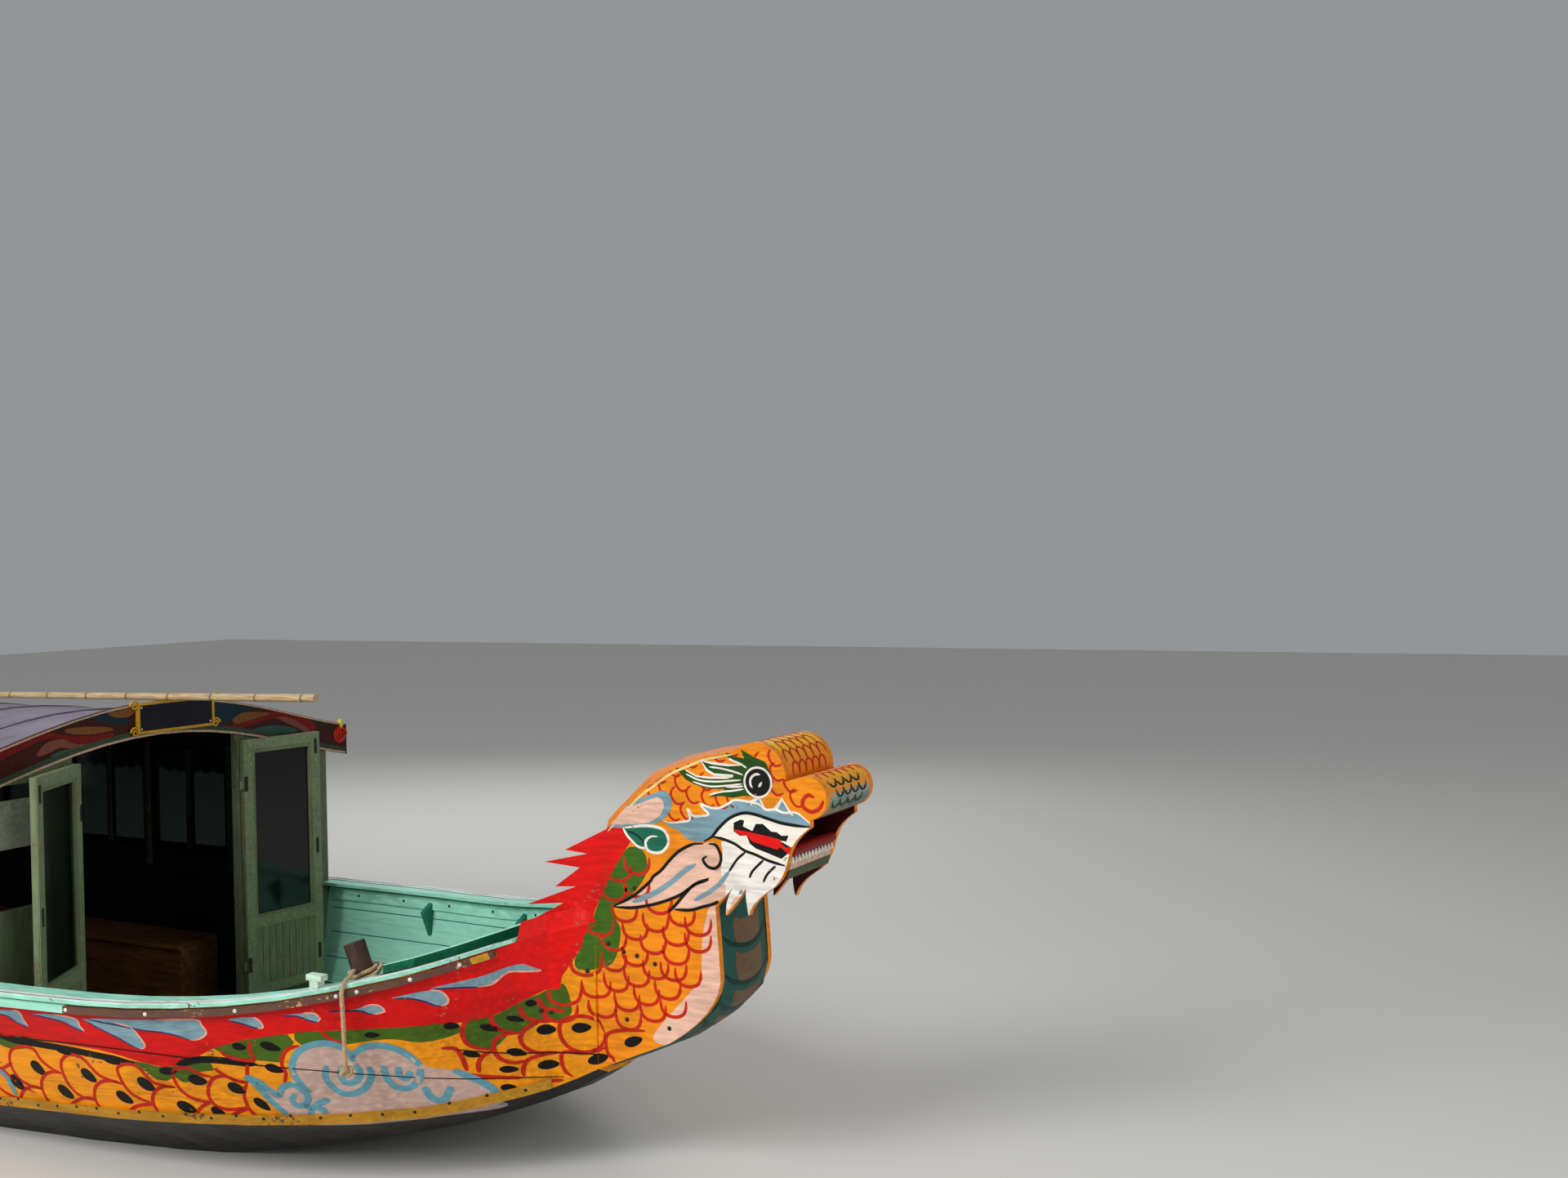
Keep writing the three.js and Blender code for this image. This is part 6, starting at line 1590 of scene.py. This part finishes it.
class PaintTail(BoatStep):
    """Orange scales low on the stern boards, and white curls on their blue top."""
    bl_idname = "boat.paint_tail"
    bl_label = "Tail figures"

    def make(self, settings):
        piece("tail_field", Shape().area(tail_skin, TAIL_FIELD, COAT), "hull_orange")
        scales, curls = Shape(), Shape()
        for row in range(7):
            for x in [-6345 - 84 * k - (row % 2) * 42 for k in range(8)]:
                z = 860 + row * 74 + 0.35 * (-6300 - x)
                if z < 1130 + 0.62 * (-6330 - x) and x > -6790:
                    scales.line(tail_skin, scale_arc(x, z, 36, 44, -8), 10, 2.5 * COAT)
        for line in TAIL_CURLS:
            curls.line(tail_skin, smooth_line(line), 20, 3 * COAT)
        scales.line(tail_skin, smooth_line(TAIL_FIELD[1:8], 20), 16, 3 * COAT)
        piece("tail_scales", scales, "scale_red")
        piece("tail_curls", curls, "tooth_white")


class RoofBattens(BoatStep):
    """Battens over the laps of both roofs."""
    bl_idname = "boat.roof_battens"
    bl_label = "Roof battens"

    def make(self, settings):
        battens, pale = Shape(), Shape()
        for x in range(-3160, 2260, 600):
            battens.line(roof_skin, [(x, y) for y in range(-1480, 1481, 80)], 34, 9, 1.0, False)
        for x in range(-5400, -3280, 530):
            pale.line(house_roof_skin, [(x, y) for y in range(-1380, 1381, 60)], 30, 8, 1.0, False)
        piece("roof_battens", battens, "roof_batten")
        piece("house_roof_battens", pale, "cap_white")


class DressJaw(BoatStep):
    """Teeth along the lower jaw's front edge, with the rose and olive bands under them."""
    bl_idname = "boat.dress_jaw"
    bl_label = "Jaw"

    def make(self, settings):
        teeth, rose, olive = Shape(), Shape(), Shape()
        ys = range(-205, 206, 41)
        rose.line(jaw_skin, [(y, 1546) for y in ys], 44, 3, 1.0, False)
        olive.line(jaw_skin, [(y, 1502) for y in ys], 42, 3.6, 1.0, False)
        for y in [-196 + 32.6 * k for k in range(13)]:
            front = jaw_skin.at(y, 1560)[0].x
            corners = ((y - 13, 1552), (y + 13, 1552), (y + 3, 1581), (y - 3, 1581))
            teeth.take([(x, a * MM, z * MM) for x in (front - 0.002, front + 0.008) for a, z in corners],
                       [(0, 1, 2, 3), (7, 6, 5, 4), (0, 4, 5, 1), (1, 5, 6, 2), (2, 6, 7, 3), (3, 7, 4, 0)])
        piece("jaw_teeth", teeth, "tooth_white")
        piece("jaw_rose_band", rose, "jaw_rose")
        piece("jaw_olive_band", olive, "jaw_olive")


class BuildStage(BoatStep):
    """The studio: a pale floor at the waterline, soft lights and the camera."""
    bl_idname = "boat.build_stage"
    bl_label = "Stage"

    def make(self, settings):
        half = settings.floor_half
        mesh = bpy.data.meshes.new("studio_floor")
        mesh.from_pydata([(-half, -half, 0), (half, -half, 0), (half, half, 0), (-half, half, 0)], [], [(0, 1, 2, 3)])
        floor = bpy.data.objects.new("studio_floor", mesh)
        bpy.context.scene.collection.objects.link(floor)
        mesh.materials.append(finish(*new_material("studio_paper"), linear("DAD8D2"), 0.9))

        # Name, place, aim and size in metres, power in watts
        for name, place_at, aim, size, power in (
                ("key_light", (1.0, -11.0, 8.5), (3.2, 0.0, 1.0), 6.0, 1350),
                ("fill_light", (13.0, -3.0, 4.0), (4.5, 0.0, 1.0), 5.0, 200),
                ("rim_light", (-2.0, 9.0, 8.0), (2.0, 0.0, 1.0), 8.0, 360)):
            data = bpy.data.lights.new(name, "AREA")
            data.size = size
            data.energy = power
            lamp = bpy.data.objects.new(name, data)
            lamp.location = place_at
            lamp.rotation_euler = (Vector(aim) - Vector(place_at)).to_track_quat("-Z", "Y").to_euler()
            bpy.context.scene.collection.objects.link(lamp)
        world = bpy.data.worlds.new("studio_air")
        world.use_nodes = True
        air = world.node_tree.nodes["Background"]
        air.inputs["Color"].default_value = linear("E8ECF0")
        air.inputs["Strength"].default_value = 0.36
        bpy.context.scene.world = world
        # Standard keeps the enamels as strong as the eye sees them.
        bpy.context.scene.view_settings.view_transform = "Standard"
        place_camera()


def place_camera():
    """Sets up the photo's camera."""
    yaw, pitch, roll = (math.radians(CAMERA[key]) for key in ("yaw", "pitch", "roll"))
    level = Vector((-math.sin(yaw), math.cos(yaw), 0))
    right = Vector((math.cos(yaw), math.sin(yaw), 0))
    up = Vector((0, 0, 1))
    forward = level * math.cos(pitch) - up * math.sin(pitch)
    upward = up * math.cos(pitch) + level * math.sin(pitch)
    across = right * math.cos(roll) + upward * math.sin(roll)
    upward = upward * math.cos(roll) - right * math.sin(roll)
    turn = Matrix((across, upward, -forward)).transposed().to_4x4()
    data = bpy.data.cameras.new("photo_camera")
    data.sensor_width = 36.0
    data.sensor_fit = "HORIZONTAL"
    data.lens = CAMERA["lens"]
    data.clip_end = 200
    camera = bpy.data.objects.new("photo_camera", data)
    camera.matrix_world = Matrix.Translation(CAMERA["place"]) @ turn
    bpy.context.scene.collection.objects.link(camera)
    bpy.context.scene.camera = camera


STEPS = [PaintNodes, PaintHull, PaintHead, PaintRolls, PaintBelly, PaintFascia, DressSheer, CloseMane, DressWell,
         BelayRope, TrimFascia, DressDoors, TrimWindows, HangValances, PaintTail, RoofBattens, DressJaw, BuildStage]


class BoatPanel(bpy.types.Panel):
    """Lists the boat's settings and steps in the sidebar."""
    bl_idname = "VIEW3D_PT_boat"
    bl_label = "Dragon boat"
    bl_space_type = "VIEW_3D"
    bl_region_type = "UI"
    bl_category = "Boat"

    def draw(self, context):
        for key in BoatSettings.__annotations__:
            self.layout.prop(context.scene.boat_settings, key)
        for step in STEPS:
            self.layout.operator(step.bl_idname)


def register():
    """Registers the settings, the steps and the panel."""
    for kind in [BoatSettings, *STEPS, BoatPanel]:
        bpy.utils.register_class(kind)
    bpy.types.Scene.boat_settings = bpy.props.PointerProperty(type=BoatSettings)


def unregister():
    """Takes the registered classes back."""
    del bpy.types.Scene.boat_settings
    for kind in [BoatPanel, *STEPS[::-1], BoatSettings]:
        bpy.utils.unregister_class(kind)


def main():
    register()
    for step in STEPS:
        getattr(bpy.ops.boat, step.bl_idname.split(".")[1])()
    bpy.context.view_layer.update()


if __name__ == "__main__":
    main()
